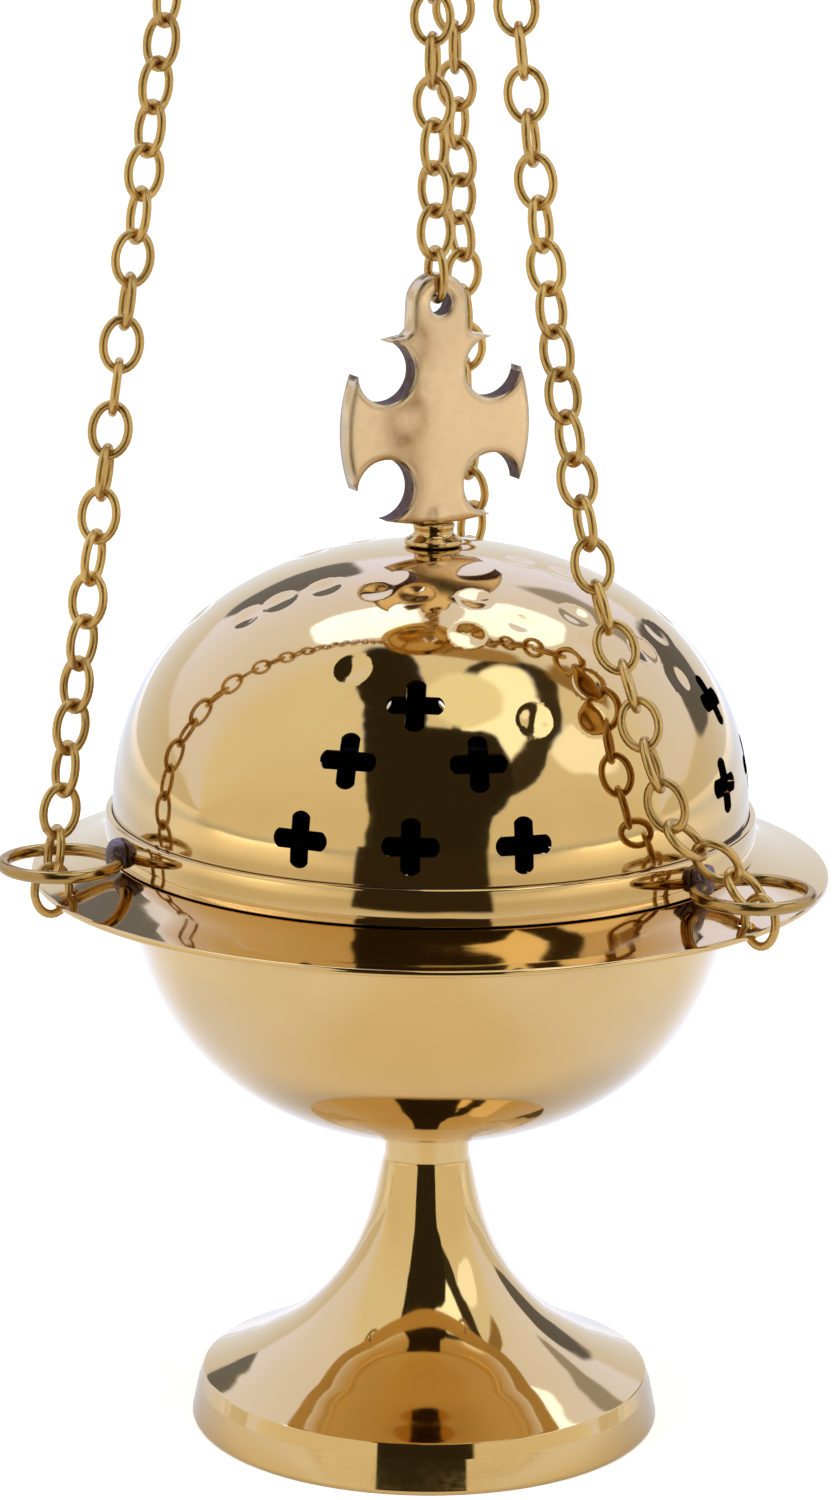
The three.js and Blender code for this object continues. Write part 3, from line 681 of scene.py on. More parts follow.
def make_foot():
    crease = FOOT_CREASE_RADIUS, FOOT_CREASE_HEIGHT
    flare = smooth_curve([crease, *FOOT_FLARE, (NECK_RADIUS, NECK_HEIGHT)], 12)
    slopes = np.gradient(flare, axis=0)
    slopes /= lengths(slopes)[:, None]
    inside = [(p[0] - s[1] * FOOT_WALL, p[1] + s[0] * FOOT_WALL) for p, s in zip(flare, slopes)][::-1]
    outline = softened([
        (FOOT_RADIUS - 0.25, 0, 0.2),
        (FOOT_RADIUS, 0.6, 0.4),
        (FOOT_BAND_TOP_RADIUS, FOOT_BAND_HEIGHT, 0.5),
        (FOOT_CREASE_RADIUS, FOOT_CREASE_HEIGHT, 0.25),
        *map(tuple, flare[1:]),
        (NECK_RADIUS, FOOT_TOP, 0.2),
        (BOLT_HOLE_RADIUS, FOOT_TOP),
        (BOLT_HOLE_RADIUS, FOOT_TOP - FOOT_WALL),
        (NECK_RADIUS - FOOT_WALL, FOOT_TOP - FOOT_WALL, 0.2),
        *inside[:-1],
        (FOOT_CREASE_RADIUS - FOOT_WALL, FOOT_CREASE_HEIGHT - FOOT_WALL, 0.3),
        (FOOT_RADIUS - FOOT_WALL, 0, 0.2),
    ])
    dress(crisp(lathe("foot_spun", outline, BODY_SIDES, WAVY)), "stand", "spun_brass", "foot")


# Bowl


def brim_top_at(radius):
    return BRIM_SEAT_HEIGHT - (radius - LID_RADIUS) * BRIM_SLOPE


RIM_RADIUS = LID_RADIUS - LID_WALL - LID_STEP - RUNNING_GAP
CHAIN_HOLE_AT = BRIM_RADIUS - CHAIN_HOLE_INSET


def bowl_face(radius, bottom, steps):
    shell = shell_outline(radius, BOWL_WIDEST_HEIGHT - bottom, BOWL_FULLNESS, steps, BOWL_FLAT_RADIUS)
    return [(r, BOWL_WIDEST_HEIGHT - drop) for r, drop in shell[:-1]] + [(BOWL_FLAT_RADIUS, bottom)]


def make_bowl():
    rim_top = brim_top_at(RIM_RADIUS) + RIM_HEIGHT
    outline = softened([
        (BOLT_HOLE_RADIUS, BOWL_BOTTOM),
        *bowl_face(BOWL_RADIUS, BOWL_BOTTOM, 60)[::-1],
        (BOWL_RADIUS, brim_top_at(BOWL_RADIUS) - BRIM_FALL, 0.8),
        (BRIM_RADIUS, brim_top_at(BRIM_RADIUS) - BRIM_FALL, 0.45),
        (BRIM_RADIUS, brim_top_at(BRIM_RADIUS), 0.45),
        (BRIM_DISH_AT, brim_top_at(BRIM_DISH_AT) - BRIM_DISH, BRIM_DISH_ROUNDING),
        (RIM_RADIUS, brim_top_at(RIM_RADIUS), 0.6),
        (RIM_RADIUS, rim_top, 0.4),
        (BOWL_RADIUS - BOWL_WALL, rim_top, 0.4),
        *bowl_face(BOWL_RADIUS - BOWL_WALL, BOWL_BOTTOM + BOWL_WALL, 40),
        (BOLT_HOLE_RADIUS, BOWL_BOTTOM + BOWL_WALL),
    ])
    bowl = lathe("bowl_spun_with_brim", outline, BODY_SIDES, SPUN)
    bowl = chain_holes(bowl, CHAIN_HOLE_AT, 0, brim_top_at(CHAIN_HOLE_AT), depth=3.0, material=SPUN)
    # The nearly black painted shade goes on the faces inside the bowl, within the upright rim
    bowl.data.materials.append(PAINTED_INSIDE_SHADE)
    for face in bowl.data.polygons:
        across = Vector((face.center.x - AXIS.x, face.center.y - AXIS.y, 0.0))
        within = across.length < (RIM_RADIUS - INSIDE_SHADE_EDGE) * MM
        above = face.center.z > (BOWL_BOTTOM + BOWL_WALL / 2) * MM
        faces_in = face.normal.z > 0.05 or face.normal.dot(across) < 0
        face.material_index = int(within and above and faces_in)
    dress(crisp(bowl), "stand", "spun_brass", "bowl")


# Lid

LID_INNER_RADIUS = LID_RADIUS - LID_WALL
LID_EDGE = brim_top_at(LID_INNER_RADIUS) + SEAT_GAP
GROOVE_HEIGHT = LID_EDGE + LID_BAND_HEIGHT
DOME_RADIUS = LID_RADIUS - LID_STEP
LID_TOP = GROOVE_HEIGHT + DOME_HEIGHT


def dome_normal(points):
    """The direction that the smooth dome faces at points on it."""
    r = np.maximum(np.hypot(points[:, 0], points[:, 1]), 1e-6)
    z = np.maximum(points[:, 2] - GROOVE_HEIGHT, 0)
    out = (r / DOME_RADIUS) ** (DOME_FULLNESS - 1) / DOME_RADIUS
    up = (z / DOME_HEIGHT) ** (DOME_FULLNESS - 1) / DOME_HEIGHT
    n = np.stack([points[:, 0] / r * out, points[:, 1] / r * out, up], -1)
    return n / lengths(n)[:, None]


def dome_level(points):
    """1 on the dome's face, less inside it."""
    r = np.hypot(points[:, 0], points[:, 1]) / DOME_RADIUS
    z = np.maximum(points[:, 2] - GROOVE_HEIGHT, 0) / DOME_HEIGHT
    return r**DOME_FULLNESS + z**DOME_FULLNESS


def above_groove(points):
    return points[:, 2] > GROOVE_HEIGHT + 0.05


def on_dome_at(rise, degrees, out=0.0):
    """A point on the dome at a height above the groove, or over its top, and how far outside it."""
    radius = DOME_RADIUS * max(1 - (rise / DOME_HEIGHT) ** DOME_FULLNESS, 0) ** (1 / DOME_FULLNESS)
    return polar(radius + out, degrees, GROOVE_HEIGHT + rise)


def cross_marks():
    marks = []
    for group, lift, rows in CROSS_GROUPS:
        for row, count, spacing in CROSS_ROWS[:rows]:
            for k in range(count):
                p = on_dome_at(row + lift, group + (k - (count - 1) / 2) * spacing)
                n = dome_normal(p[None])[0]
                marks.append((p, n, np.array(UP) - n * n[2]))
    return marks


def in_quarters(quarter_points):
    """An outline from the points that each quarter turn adds. A third value is kept as it is."""
    out = []
    for quarter in range(4):
        c, s = math.cos(quarter * math.pi / 2), math.sin(quarter * math.pi / 2)
        out += [(x * c - y * s, x * s + y * c, *rest) for x, y, *rest in quarter_points(quarter)]
    return out


def cross_outline():
    """A cross with round-ended arms."""
    half, arm = CROSS_SPAN / 2, CROSS_ARM / 2
    radius = (arm**2 + CROSS_TIP_RISE**2) / (2 * CROSS_TIP_RISE)
    sweep = math.asin(arm / radius)
    return in_quarters(lambda quarter: [(arm, -arm), *arc((half - radius, 0), radius, -sweep, sweep, 9)])


def camera_frame():
    """The camera's place in millimetres, and its right, up and forward directions."""
    where = np.array([
        CAMERA_X,
        -CAMERA_DISTANCE * math.cos(CAMERA_ELEVATION),
        CAMERA_AIM[2] + CAMERA_DISTANCE * math.sin(CAMERA_ELEVATION),
    ])
    forward = unit(np.array(CAMERA_AIM) - where)
    right = unit(np.cross(forward, UP))
    up = np.cross(right, forward)
    c, s = math.cos(CAMERA_ROLL), math.sin(CAMERA_ROLL)
    return where, c * right + s * up, c * up - s * right, forward


def seen_on_dome(pixel):
    """The point of the smooth dome that the camera sees at a pixel of the photograph."""
    where, right, up, forward = camera_frame()
    x, y = pixel[0] - PHOTO_WIDTH / 2, PHOTO_HEIGHT / 2 - pixel[1]
    ray = forward + right * x / FOCAL_PIXELS + up * y / FOCAL_PIXELS
    steps = np.linspace(CAMERA_DISTANCE - DOME_RADIUS * 1.3, CAMERA_DISTANCE, SIGHT_STEPS)
    points = where + steps[:, None] * ray
    inside = (dome_level(points) < 1) & (points[:, 2] > GROOVE_HEIGHT)
    return points[np.argmax(inside)] if inside.any() else None


def dent_places(marks):
    """Dents in view, and more behind that keep clear of each other and of the crosses."""
    dents = [p for p in map(seen_on_dome, DENTS_IN_VIEW) if p is not None]
    crosses = np.array([m[0] for m in marks])
    wanted = len(dents) + DENTS_BEHIND
    while len(dents) < wanted:
        rise = DOME_HEIGHT * rng.uniform(*DENT_RISES)
        p = on_dome_at(rise, rng.uniform(0, 180))
        clear = lengths(np.array(dents) - p).min() > DENT_SPACING
        if clear and lengths(crosses - p).min() > DENT_CROSS_SPACING:
            dents.append(p)
    return np.array(dents)


def dent_push(points, dents):
    """How deep each point is pressed in, and the gradient of that depth."""
    depth = np.zeros(len(points))
    slope = np.zeros_like(points)
    for d in dents:
        off = points - d
        far = lengths(off)
        near = far < DENT_RADIUS
        t = far[near] / DENT_RADIUS
        depth[near] += DENT_DEPTH * (1 - t**2) ** 2
        slope[near] += (-4 * DENT_DEPTH / DENT_RADIUS**2 * (1 - t**2))[:, None] * off[near]
    return depth, slope


def read_all(items, field, width=3, kind=float):
    """A field of all of a mesh's vertices, corners or faces, a row for each."""
    values = np.zeros(len(items) * width, kind)
    items.foreach_get(field, values)
    return values.reshape(-1, width) if width > 1 else values


def dome_shell(wall, steps):
    shell = shell_outline(DOME_RADIUS - wall, DOME_HEIGHT - wall, DOME_FULLNESS, steps, PEG_HOLE_RADIUS)
    return [(r, GROOVE_HEIGHT + z) for r, z in shell[:-1]]


def make_lid():
    marks = cross_marks()
    dents = dent_places(marks)
    outline = softened([
        (LID_RADIUS, LID_EDGE - LID_BAND_DROPS[0], 0.12),
        (LID_RADIUS, GROOVE_HEIGHT - 0.1, 0.45),
        (DOME_RADIUS + 0.1, GROOVE_HEIGHT - 0.12, 0.1),
        *dome_shell(0, DOME_STEPS),
        (PEG_HOLE_RADIUS, LID_TOP),
        (PEG_HOLE_RADIUS, LID_TOP - LID_WALL),
        *dome_shell(LID_WALL, 24)[::-1],
        (LID_INNER_RADIUS, GROOVE_HEIGHT - LID_STEP),
        (LID_INNER_RADIUS, LID_EDGE - LID_BAND_DROPS[1], 0.2),
    ])
    lid = lathe("lid_dome_pierced", outline, DOME_SIDES, WAVY)
    points = in_millimetres(read_all(lid.data.vertices, "co"))
    on_dome = (np.abs(dome_level(points) - 1) < DENTED_SKIN) & above_groove(points)
    depth, _ = dent_push(points[on_dome], dents)
    points[on_dome] -= dome_normal(points[on_dome]) * depth[:, None]
    lid.data.vertices.foreach_set("co", place(points).ravel())
    lid.data.update()
    lid = punched(lid, cross_outline(), depth=6.0, marks=marks, material=WAVY)
    # The nearly black painted shade, which shade_lid puts on the inside
    lid.data.materials.append(PAINTED_INSIDE_SHADE)
    shade_lid(lid.data, dents)
    dress(lid, "lid", "spun_brass", "lid")


def shade_lid(mesh, dents):
    """The dome's face keeps the exact directions of its form round the cuts, and the inside gets the painted
    shade.
    """
    mesh.set_sharp_from_angle(angle=math.radians(35))
    middle = in_millimetres(read_all(mesh.polygons, "center"))
    level, low = dome_level(middle), middle[:, 2] <= GROOVE_HEIGHT
    facing = (dome_normal(middle) * read_all(mesh.polygons, "normal")).sum(1)
    on_face = (np.abs(level - 1) < 0.02) & (facing > 0.9) & above_groove(middle)
    inside = (level < 0.975) & ~low & (facing < -0.5)
    inside |= low & (np.hypot(middle[:, 0], middle[:, 1]) < LID_INNER_RADIUS + 0.05)
    mesh.polygons.foreach_set("material_index", inside.astype(np.int32))
    chosen = np.repeat(on_face, read_all(mesh.polygons, "loop_total", 1, int))
    corners = read_all(mesh.loops, "vertex_index", 1, int)
    p = in_millimetres(read_all(mesh.vertices, "co"))[corners[chosen]]
    n = dome_normal(p)
    _, slope = dent_push(p, dents)
    n = n + slope - (slope * n).sum(1)[:, None] * n
    normals = np.zeros((len(corners), 3))
    normals[chosen] = n / lengths(n)[:, None]
    mesh.normals_split_custom_set([tuple(v) for v in normals])


# Finial

COLLAR_LOW = LID_TOP + SEAT_GAP
CROWN_LOW = COLLAR_LOW + COLLAR_HEIGHT + SEAT_GAP
CROWN_MIDDLE = CROWN_LOW + CROWN_HEIGHT / 2
CROWN_EYE_HEIGHT = CROWN_LOW + CROWN_HEIGHT + CROWN_EYE_RISE


def crown_outline():
    """A cross with round bites between its arms, bulging ends, and a lobe on the top arm for the eye.

    Each point comes with whether it lies in a bite.
    """
    half, reach = CROWN_TIP
    waist = CROWN_WAIST / 2
    across = half + reach - waist
    bite_at = across - math.sqrt(across**2 - half**2 - reach**2 + waist**2)
    to_tip = math.atan2(reach - bite_at, half - bite_at)
    bite = arc((bite_at, bite_at), bite_at - waist, math.pi / 2 - to_tip, to_tip - 2 * math.pi, 29)[1:-1]

    def quarter_points(quarter):
        bulge = CROWN_BULGE[quarter % 2]
        radius = (half**2 + bulge**2) / (2 * bulge)
        sweep = math.asin(half / radius)
        end = arc((0, reach + bulge - radius), radius, math.pi / 2 - sweep, math.pi / 2 + sweep, 17)
        if quarter == 0:
            side = [p for p in end if p[0] > CROWN_EYE_RADIUS + 0.9]
            side.append((CROWN_EYE_RADIUS + 0.15, reach + bulge + 0.5))
            lobe = arc((0, CROWN_EYE_HEIGHT - CROWN_MIDDLE), CROWN_EYE_RADIUS, 0.0, math.pi, 25)
            end = side + lobe + [(-x, y) for x, y in side[::-1]]
        return [(*p, True) for p in bite] + [(*p, False) for p in end]

    return in_quarters(quarter_points)


def make_crown():
    """The cross as one plate with rounded edges, and its peg down through the lid."""
    outline = crown_outline()
    eye = CROWN_EYE_HEIGHT - CROWN_MIDDLE
    hole = [(x, y + eye) for x, y in circle_outline(CROWN_EYE_HOLE_RADIUS, 32)]
    half = CROWN_THICKNESS / 2
    flat = [Vector((p[0], p[1], 0)) for p in outline], [Vector((*p, 0)) for p in hole]
    caps = tessellate_polygon(flat)
    count = len(outline) + len(hole)
    points = [(p.x * MM, p.y * MM, z * MM) for z in (-half, half) for loop in flat for p in loop]
    faces = [tuple(face) for face in caps] + [tuple(i + count for i in face[::-1]) for face in caps]
    for first, last in ((0, len(outline)), (len(outline), count)):
        for i in range(first, last):
            n = i + 1 if i + 1 < last else first
            faces.append((i, n, n + count, i + count))
    mesh = plain_mesh("finial_cross_cast", points, [], faces, CAST, DARK_WALL_CAST)
    # The walls of the bites and of the eye hole are dark brown, the faces and other edges filed brass
    dark_walls = [False] * (2 * len(caps)) + [in_bite for _, _, in_bite in outline] + [True] * len(hole)
    mesh.polygons.foreach_set("material_index", np.array(dark_walls, np.int32))
    face_outwards(mesh)
    cross = linked("finial_cross_cast", mesh)
    bevel = cross.modifiers.new("worn_edges", "BEVEL")
    bevel.width = CROWN_EDGE * MM
    bevel.segments = 3
    bevel.angle_limit = math.radians(50)
    bevel.harden_normals = True
    cross = applied(cross)
    upright = Matrix.Rotation(math.pi / 2, 4, "X")
    turned = Matrix.Rotation(CROWN_TURN, 4, "Z")
    there = Matrix.Translation(Vector(place([0, 0, CROWN_MIDDLE])))
    cross.data.transform(there @ turned @ upright)
    cross.data.shade_smooth()
    low, high = LID_TOP + PEG_REACH[0], CROWN_LOW + PEG_REACH[1]
    peg = lathe("peg", [(0, high), (PEG_RADIUS, high), (PEG_RADIUS, low), (0, low)], 32, CAST)
    dress(crisp(joined("finial_cross_cast", [cross, peg])), "lid", "cast_brass", "finial_cross")
    low, high = COLLAR_LOW - COLLAR_OVERLAP, COLLAR_LOW + COLLAR_HEIGHT + COLLAR_OVERLAP
    collar = lathe("finial_collar_turned", softened([
        (PEG_HOLE_RADIUS, low),
        (COLLAR_FOOT_RADIUS, low, 0.3),
        (COLLAR_FOOT_RADIUS, COLLAR_LOW + 0.5, 0.5),
        (COLLAR_RADIUS, COLLAR_LOW + COLLAR_HEIGHT * 0.5, 0.9),
        (COLLAR_RADIUS + 0.5, high, 0.4),
        (PEG_HOLE_RADIUS, high),
    ], 6), SMALL_SIDES, TURNED)
    dress(crisp(collar), "lid", "turned_brass", "finial_collar")


# Guide rings

END_LINK_HALF = (LINK_PITCH + CAD_WIRE - LINK_SINK) / 2


def link_reach_at(rise):
    """Half the width between a hanging link's sides, at a height above the middle of its end."""
    share = rise / END_LINK_HALF
    return (LINK_END_WIDTH + (LINK_WIDTH - CAD_WIRE - LINK_END_WIDTH) * share) / 2


BRIM_LINK_LOW = brim_top_at(BRIM_RADIUS) - BRIM_FALL - LINK_HANG_GAP - CAD_WIRE / 2
BRIM_LINK_TOP = BRIM_LINK_LOW + 2 * END_LINK_HALF
BRIM_LINK_AT = CHAIN_HOLE_AT + link_reach_at(brim_top_at(CHAIN_HOLE_AT) - BRIM_FALL / 2 - BRIM_LINK_LOW)
GUIDE_AT = BRIM_LINK_AT - GUIDE_RING_SET
GUIDE_RING_RADIUS = GUIDE_AT - LID_RADIUS - SEAT_GAP
GUIDE_HEIGHT = LID_EDGE + GUIDE_RING_LIFT


def braze_lump(name, degrees):
    """A frozen lump of braze, longer along the ring than it is high."""
    ball = bmesh.new()
    bmesh.ops.create_icosphere(ball, subdivisions=4, radius=1.0)
    directions = [polar(1, degrees, 0), polar(1, degrees + 90, 0), np.array(UP)]
    centre = polar(LID_RADIUS + BRAZE_OUT, degrees, GUIDE_HEIGHT + BRAZE_UP)
    shift = rng.uniform(0, 6, 3)
    points = []
    for v in ball.verts:
        x, y, z = v.co
        swell = 1 + 0.13 * math.sin(3.1 * x + shift[0])
        swell += 0.12 * math.sin(4.3 * y + shift[1]) * math.cos(3.7 * z + shift[2])
        point = centre + sum(way * c * swell * half for way, c, half in zip(directions, v.co, BRAZE_HALF))
        flat = math.hypot(point[0], point[1])
        if flat < LID_RADIUS + 0.05:
            point[:2] *= (LID_RADIUS + 0.05) / flat
        points.append(point)
    faces = [[v.index for v in f.verts] for f in ball.faces]
    ball.free()
    return mesh_object(name, points, faces, BRAZE)


def make_guide_rings():
    radius = GUIDE_RING_RADIUS - GUIDE_WIRE / 2 - GUIDE_RING_PLAY
    for side, degrees in CHAIN_DEG.items():
        name = "guide_ring_" + side
        centre = polar(GUIDE_AT, degrees, GUIDE_HEIGHT)
        wire = ring(name + "_wire", centre, UP, radius, GUIDE_WIRE, RING_WIRE, 120, 16)
        dress(wire, "lid", "brass_wire", name)
        dress(braze_lump(name + "_braze", degrees), "lid", "brass_wire")


# Chains

CAP_LINK_TOP = CAP_EDGE + CAP_WALL + LINK_HANG_GAP + CAD_WIRE / 2
CAP_LINK_LOW = CAP_LINK_TOP - 2 * END_LINK_HALF
CAP_LINK_AT = CAP_RADIUS - CHAIN_HOLE_INSET + link_reach_at(CAP_LINK_TOP - CAP_EDGE - CAP_WALL / 2)
CAP_TOP = CAP_EDGE + CAP_DOME_HEIGHT
LIFT_TOP = CAP_TOP + CAP_WALL + LIFT_RISE
EYE_SEAT = CROWN_EYE_HEIGHT + CROWN_EYE_HOLE_RADIUS - SEAT_GAP


def run_of_links(name, points, count, spacing, first_width, turn):
    steps = [(i, i + 1) for i in range(len(points) - 1)]
    return run_tree(linked(name, plain_mesh(name, place(points), steps, [])), CHAIN_TREE, {
        "Links": count,
        "Link length": (spacing + 2 * WIRE - LINK_SINK) * MM,
        "Link width": LINK_WIDTH * MM,
        "Wire": WIRE * MM,
        "First width": tuple(float(c) for c in first_width),
        "Turn": turn,
        "Material": DRAWN,
    })


def fitted_links(name, points, first_width, last_width):
    """As many links as a run takes, turned evenly from the first one's width to the last one's."""
    length = float(lengths(np.diff(points, axis=0)).sum())
    count = round(length / LINK_PITCH)
    across = np.cross(unit(points[-1] - points[-2]), first_width)
    between = math.atan2(float(last_width @ across), float(last_width @ first_width))
    half_turns = round((count - 1) / 2 - between / math.pi) + 1
    turn = (between + half_turns * math.pi) / (count - 1)
    return run_of_links(name, points, count, length / count, first_width, turn)


def upright_link(node, at, degrees, height, centre_x=0.0):
    centre = polar(at, degrees, height, centre_x)
    half = np.array([0, 0, LINK_PITCH / 2])
    ends = np.array([centre - half, centre + half])
    link = run_of_links(node + "_round", ends, 1, LINK_PITCH, polar(1, degrees, 0), 0.0)
    dress(link, "stand", "brass_wire", node)


def make_chains():
    hook = LINK_HANG_GAP + (CAD_WIRE + LINK_SINK) / 2
    for side, degrees in CHAIN_DEG.items():
        above = degrees + CAP_TURN
        upright_link("brim_link_" + side, BRIM_LINK_AT, degrees, BRIM_LINK_LOW + END_LINK_HALF)
        upright_link("cap_link_" + side, CAP_LINK_AT, above, CAP_LINK_LOW + END_LINK_HALF, CAP_X)
        start = polar(BRIM_LINK_AT, degrees, BRIM_LINK_TOP - hook)
        end = polar(CAP_LINK_AT, above, CAP_LINK_LOW + hook, CAP_X)
        widths = polar(1, degrees + 90, 0), polar(1, above + 90, 0)
        if side == "right":
            make_slack_chain(start, end, *widths)
            continue
        chain = fitted_links("chain_" + side + "_links", np.array([start, end]), *widths)
        dress(chain, "stand", "brass_wire", "chain_" + side)
    points = np.array([[0, 0, EYE_SEAT - CAD_WIRE / 2], [-LIFT_LEAN, 0, LIFT_TOP]])
    widths = polar(1, math.degrees(CROWN_TURN) + 90, 0), np.array([1.0, 0, 0])
    chain = fitted_links("lid_chain_links", points, *widths)
    dress(chain, "lid", "brass_wire", "lid_chain")


def make_slack_chain(start, end, first_width, last_width):
    """The slack chain in two pieces: one climbs to the lid's shoulder, the other goes on up to the cap."""
    middle = [on_dome_at(rise, degrees, out) for degrees, rise, out in SLACK_ROUTE]
    route = smooth_curve([start, *middle, end], 24)
    chain = fitted_links("chain_right_links", route, first_width, last_width)
    in_link = LINK_SIDES[0] * LINK_SIDES[1]
    split = (GROOVE_HEIGHT + SLACK_SPLIT) * MM
    heights = read_all(chain.data.vertices, "co")[:, 2]
    is_upper = np.repeat(heights.reshape(-1, in_link).mean(1) >= split, in_link)
    ends = ("lower", False, start[2], SLACK_HELD[0]), ("upper", True, end[2], SLACK_HELD[1])
    for which, upper, fixed, held in ends:
        name = "chain_right_" + which + "_links"
        work = bmesh.new()
        work.from_mesh(chain.data)
        gone = [v for v, other in zip(work.verts, is_upper) if other != upper]
        bmesh.ops.delete(work, geom=gone, context="VERTS")
        mesh = plain_mesh(name, [], [], [], DRAWN)
        work.to_mesh(mesh)
        work.free()
        part = linked(name, mesh)
        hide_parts("chain_right")
        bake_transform(part)
    bpy.data.objects.remove(chain)


# Cap and rings


def make_cap():
    hole = EYE_POST_RADIUS + SEAT_GAP
    dome = shell_outline(CAP_RADIUS - CAP_RIM_WIDTH, CAP_DOME_HEIGHT, 2, 28, hole)
    inside = [(r - CAP_WALL / 2, CAP_EDGE + z) for r, z in dome[:-1]] + [(hole, CAP_TOP)]
    outline = softened([
        (CAP_RADIUS, CAP_EDGE, CAP_ROUNDING),
        (CAP_RADIUS, CAP_EDGE + CAP_WALL, CAP_ROUNDING),
        *[(r, CAP_EDGE + CAP_WALL + z) for r, z in dome],
        *inside[::-1],
    ])
    cap = lathe("hand_cap_spun", outline, 160, CAP_BRASS, CAP_X)
    cap = chain_holes(cap, CAP_RADIUS - CHAIN_HOLE_INSET, CAP_TURN, CAP_EDGE, depth=4.0, material=CAP_BRASS,
                      centre_x=CAP_X)
    low = EYE_SEAT - CAD_WIRE
    lift_x = -LIFT_LEAN * (CAP_EDGE - LID_TRAVEL / 2 - low) / (LIFT_TOP - low)
    lift_mark = [(np.array([lift_x, 0, CAP_EDGE]), UP, (0, 1, 0))]
    cap = punched(cap, circle_outline(LIFT_HOLE_RADIUS), depth=12.0, marks=lift_mark, material=CAP_BRASS)
    dress(crisp(cap), "stand", "spun_brass", "hand_cap")
    centre = CAP_TOP + CAP_WALL + EYE_POST_RISE + EYE_INNER_RADIUS + EYE_WIRE
    radius = EYE_INNER_RADIUS + EYE_WIRE / 2
    loop = ring("eye_loop", (CAP_X, 0, centre), (0, 1, 0), radius, EYE_WIRE, CAST, 56, 14)
    low = CAP_TOP - EYE_POST_RISE
    shoulder = CAP_TOP + CAP_WALL + SEAT_GAP
    high = centre - EYE_INNER_RADIUS - EYE_WIRE / 2
    post = lathe("eye_post", softened([
        (0, low),
        (EYE_POST_RADIUS, low, 0.4),
        (EYE_POST_RADIUS, shoulder),
        (EYE_SHOULDER_RADIUS, shoulder, 0.2),
        (EYE_SHOULDER_RADIUS, shoulder + EYE_SHOULDER_HEIGHTS[0], 0.4),
        (EYE_POST_RADIUS, shoulder + EYE_SHOULDER_HEIGHTS[1]),
        (EYE_POST_RADIUS, high),
        (0, high),
    ]), SMALL_SIDES, CAST, CAP_X)
    dress(joined("cap_eye_cast", [loop, post]), "stand", "cast_brass", "cap_eye")
    hang, pull = HANG_RING_RADIUS - HANG_WIRE / 2, PULL_RING_RADIUS - PULL_WIRE / 2
    hinge = LIFT_TOP - CAD_WIRE / 2 - SEAT_GAP - PULL_WIRE / 2
    for node, x, height, radius, wire, *fine in (
        ("hang_ring", CAP_X, centre, hang, HANG_WIRE, 128, 20),
        ("pull_ring", -LIFT_LEAN, hinge, pull, PULL_WIRE, 96, 18),
    ):
        made = ring(node + "_wire", (x, 0, height + radius), (1, 0, 0), radius, wire, RING_WIRE, *fine)
        dress(made, node, "brass_wire", node)


# Fire pan


def make_pan():
    floor = PAN_RIM_HEIGHT - PAN_DEPTH
    outline = softened([
        (0, floor),
        (PAN_FLOOR_RADIUS, floor, PAN_FLOOR_ROUNDING),
        (PAN_BEND_OUTSIDE[0], floor + PAN_BEND_OUTSIDE[1], PAN_SIDE_ROUNDING),
        (PAN_RADIUS - PAN_LIP[0], PAN_RIM_HEIGHT - PAN_WALL, 1),
        (PAN_RADIUS, PAN_RIM_HEIGHT - PAN_WALL, 0.3),
        (PAN_RADIUS, PAN_RIM_HEIGHT, 0.3),
        (PAN_RADIUS - PAN_LIP[1], PAN_RIM_HEIGHT, 1),
        (PAN_BEND_INSIDE[0], floor + PAN_BEND_INSIDE[1], PAN_SIDE_ROUNDING),
        (PAN_FLOOR_RADIUS - 1, floor + PAN_WALL, PAN_FLOOR_ROUNDING),
        (0, floor + PAN_WALL),
    ], 6)
    dress(crisp(lathe("fire_pan_spun", outline, 128, TARNISHED)), "fire_pan", "dull_brass", "fire_pan")


# Nodes that stay as they are, with better materials


def dress_nodes():
    for name, material in (("foot_bolt", TURNED), ("foot_nut", TURNED), ("finial_nut", TARNISHED)):
        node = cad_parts[name]
        node.data.materials.clear()
        node.data.materials.append(material)


# Studio

FLOOR_HALF = 6.0
WHITE = (1, 1, 1, 1)
# Colours of the light painted on the floor, which only mirrors see
PAINTED_COOL_LIGHT = (0.8, 1.05, 1.6, 1)
PAINTED_BLUE_LIGHT = (0.2, 0.65, 2.1, 1)


def soft_steps(tree, *steps):
    """A product of soft steps, each (value, where it starts and ends, share before and after it)."""
    product = None
    for step in steps:
        soft = add(tree, "ShaderNodeMapRange", step, interpolation_type="SMOOTHSTEP")
        product = add(tree, "ShaderNodeMath", [product, soft], operation="MULTIPLY") if product else soft
    return product


def by_ray(tree, lit, mirrored, shown):
    """What a surface gives off to matt things, what mirrors show of it, and what the camera sees."""
    path = add(tree, "ShaderNodeLightPath").outputs
    straight = path["Is Camera Ray"], path["Is Transmission Ray"]
    seen = add(tree, "ShaderNodeMath", straight, operation="MAXIMUM")
    first = add(tree, "ShaderNodeMixShader", [path["Is Glossy Ray"], lit, mirrored])
    return add(tree, "ShaderNodeMixShader", [seen, first, shown])


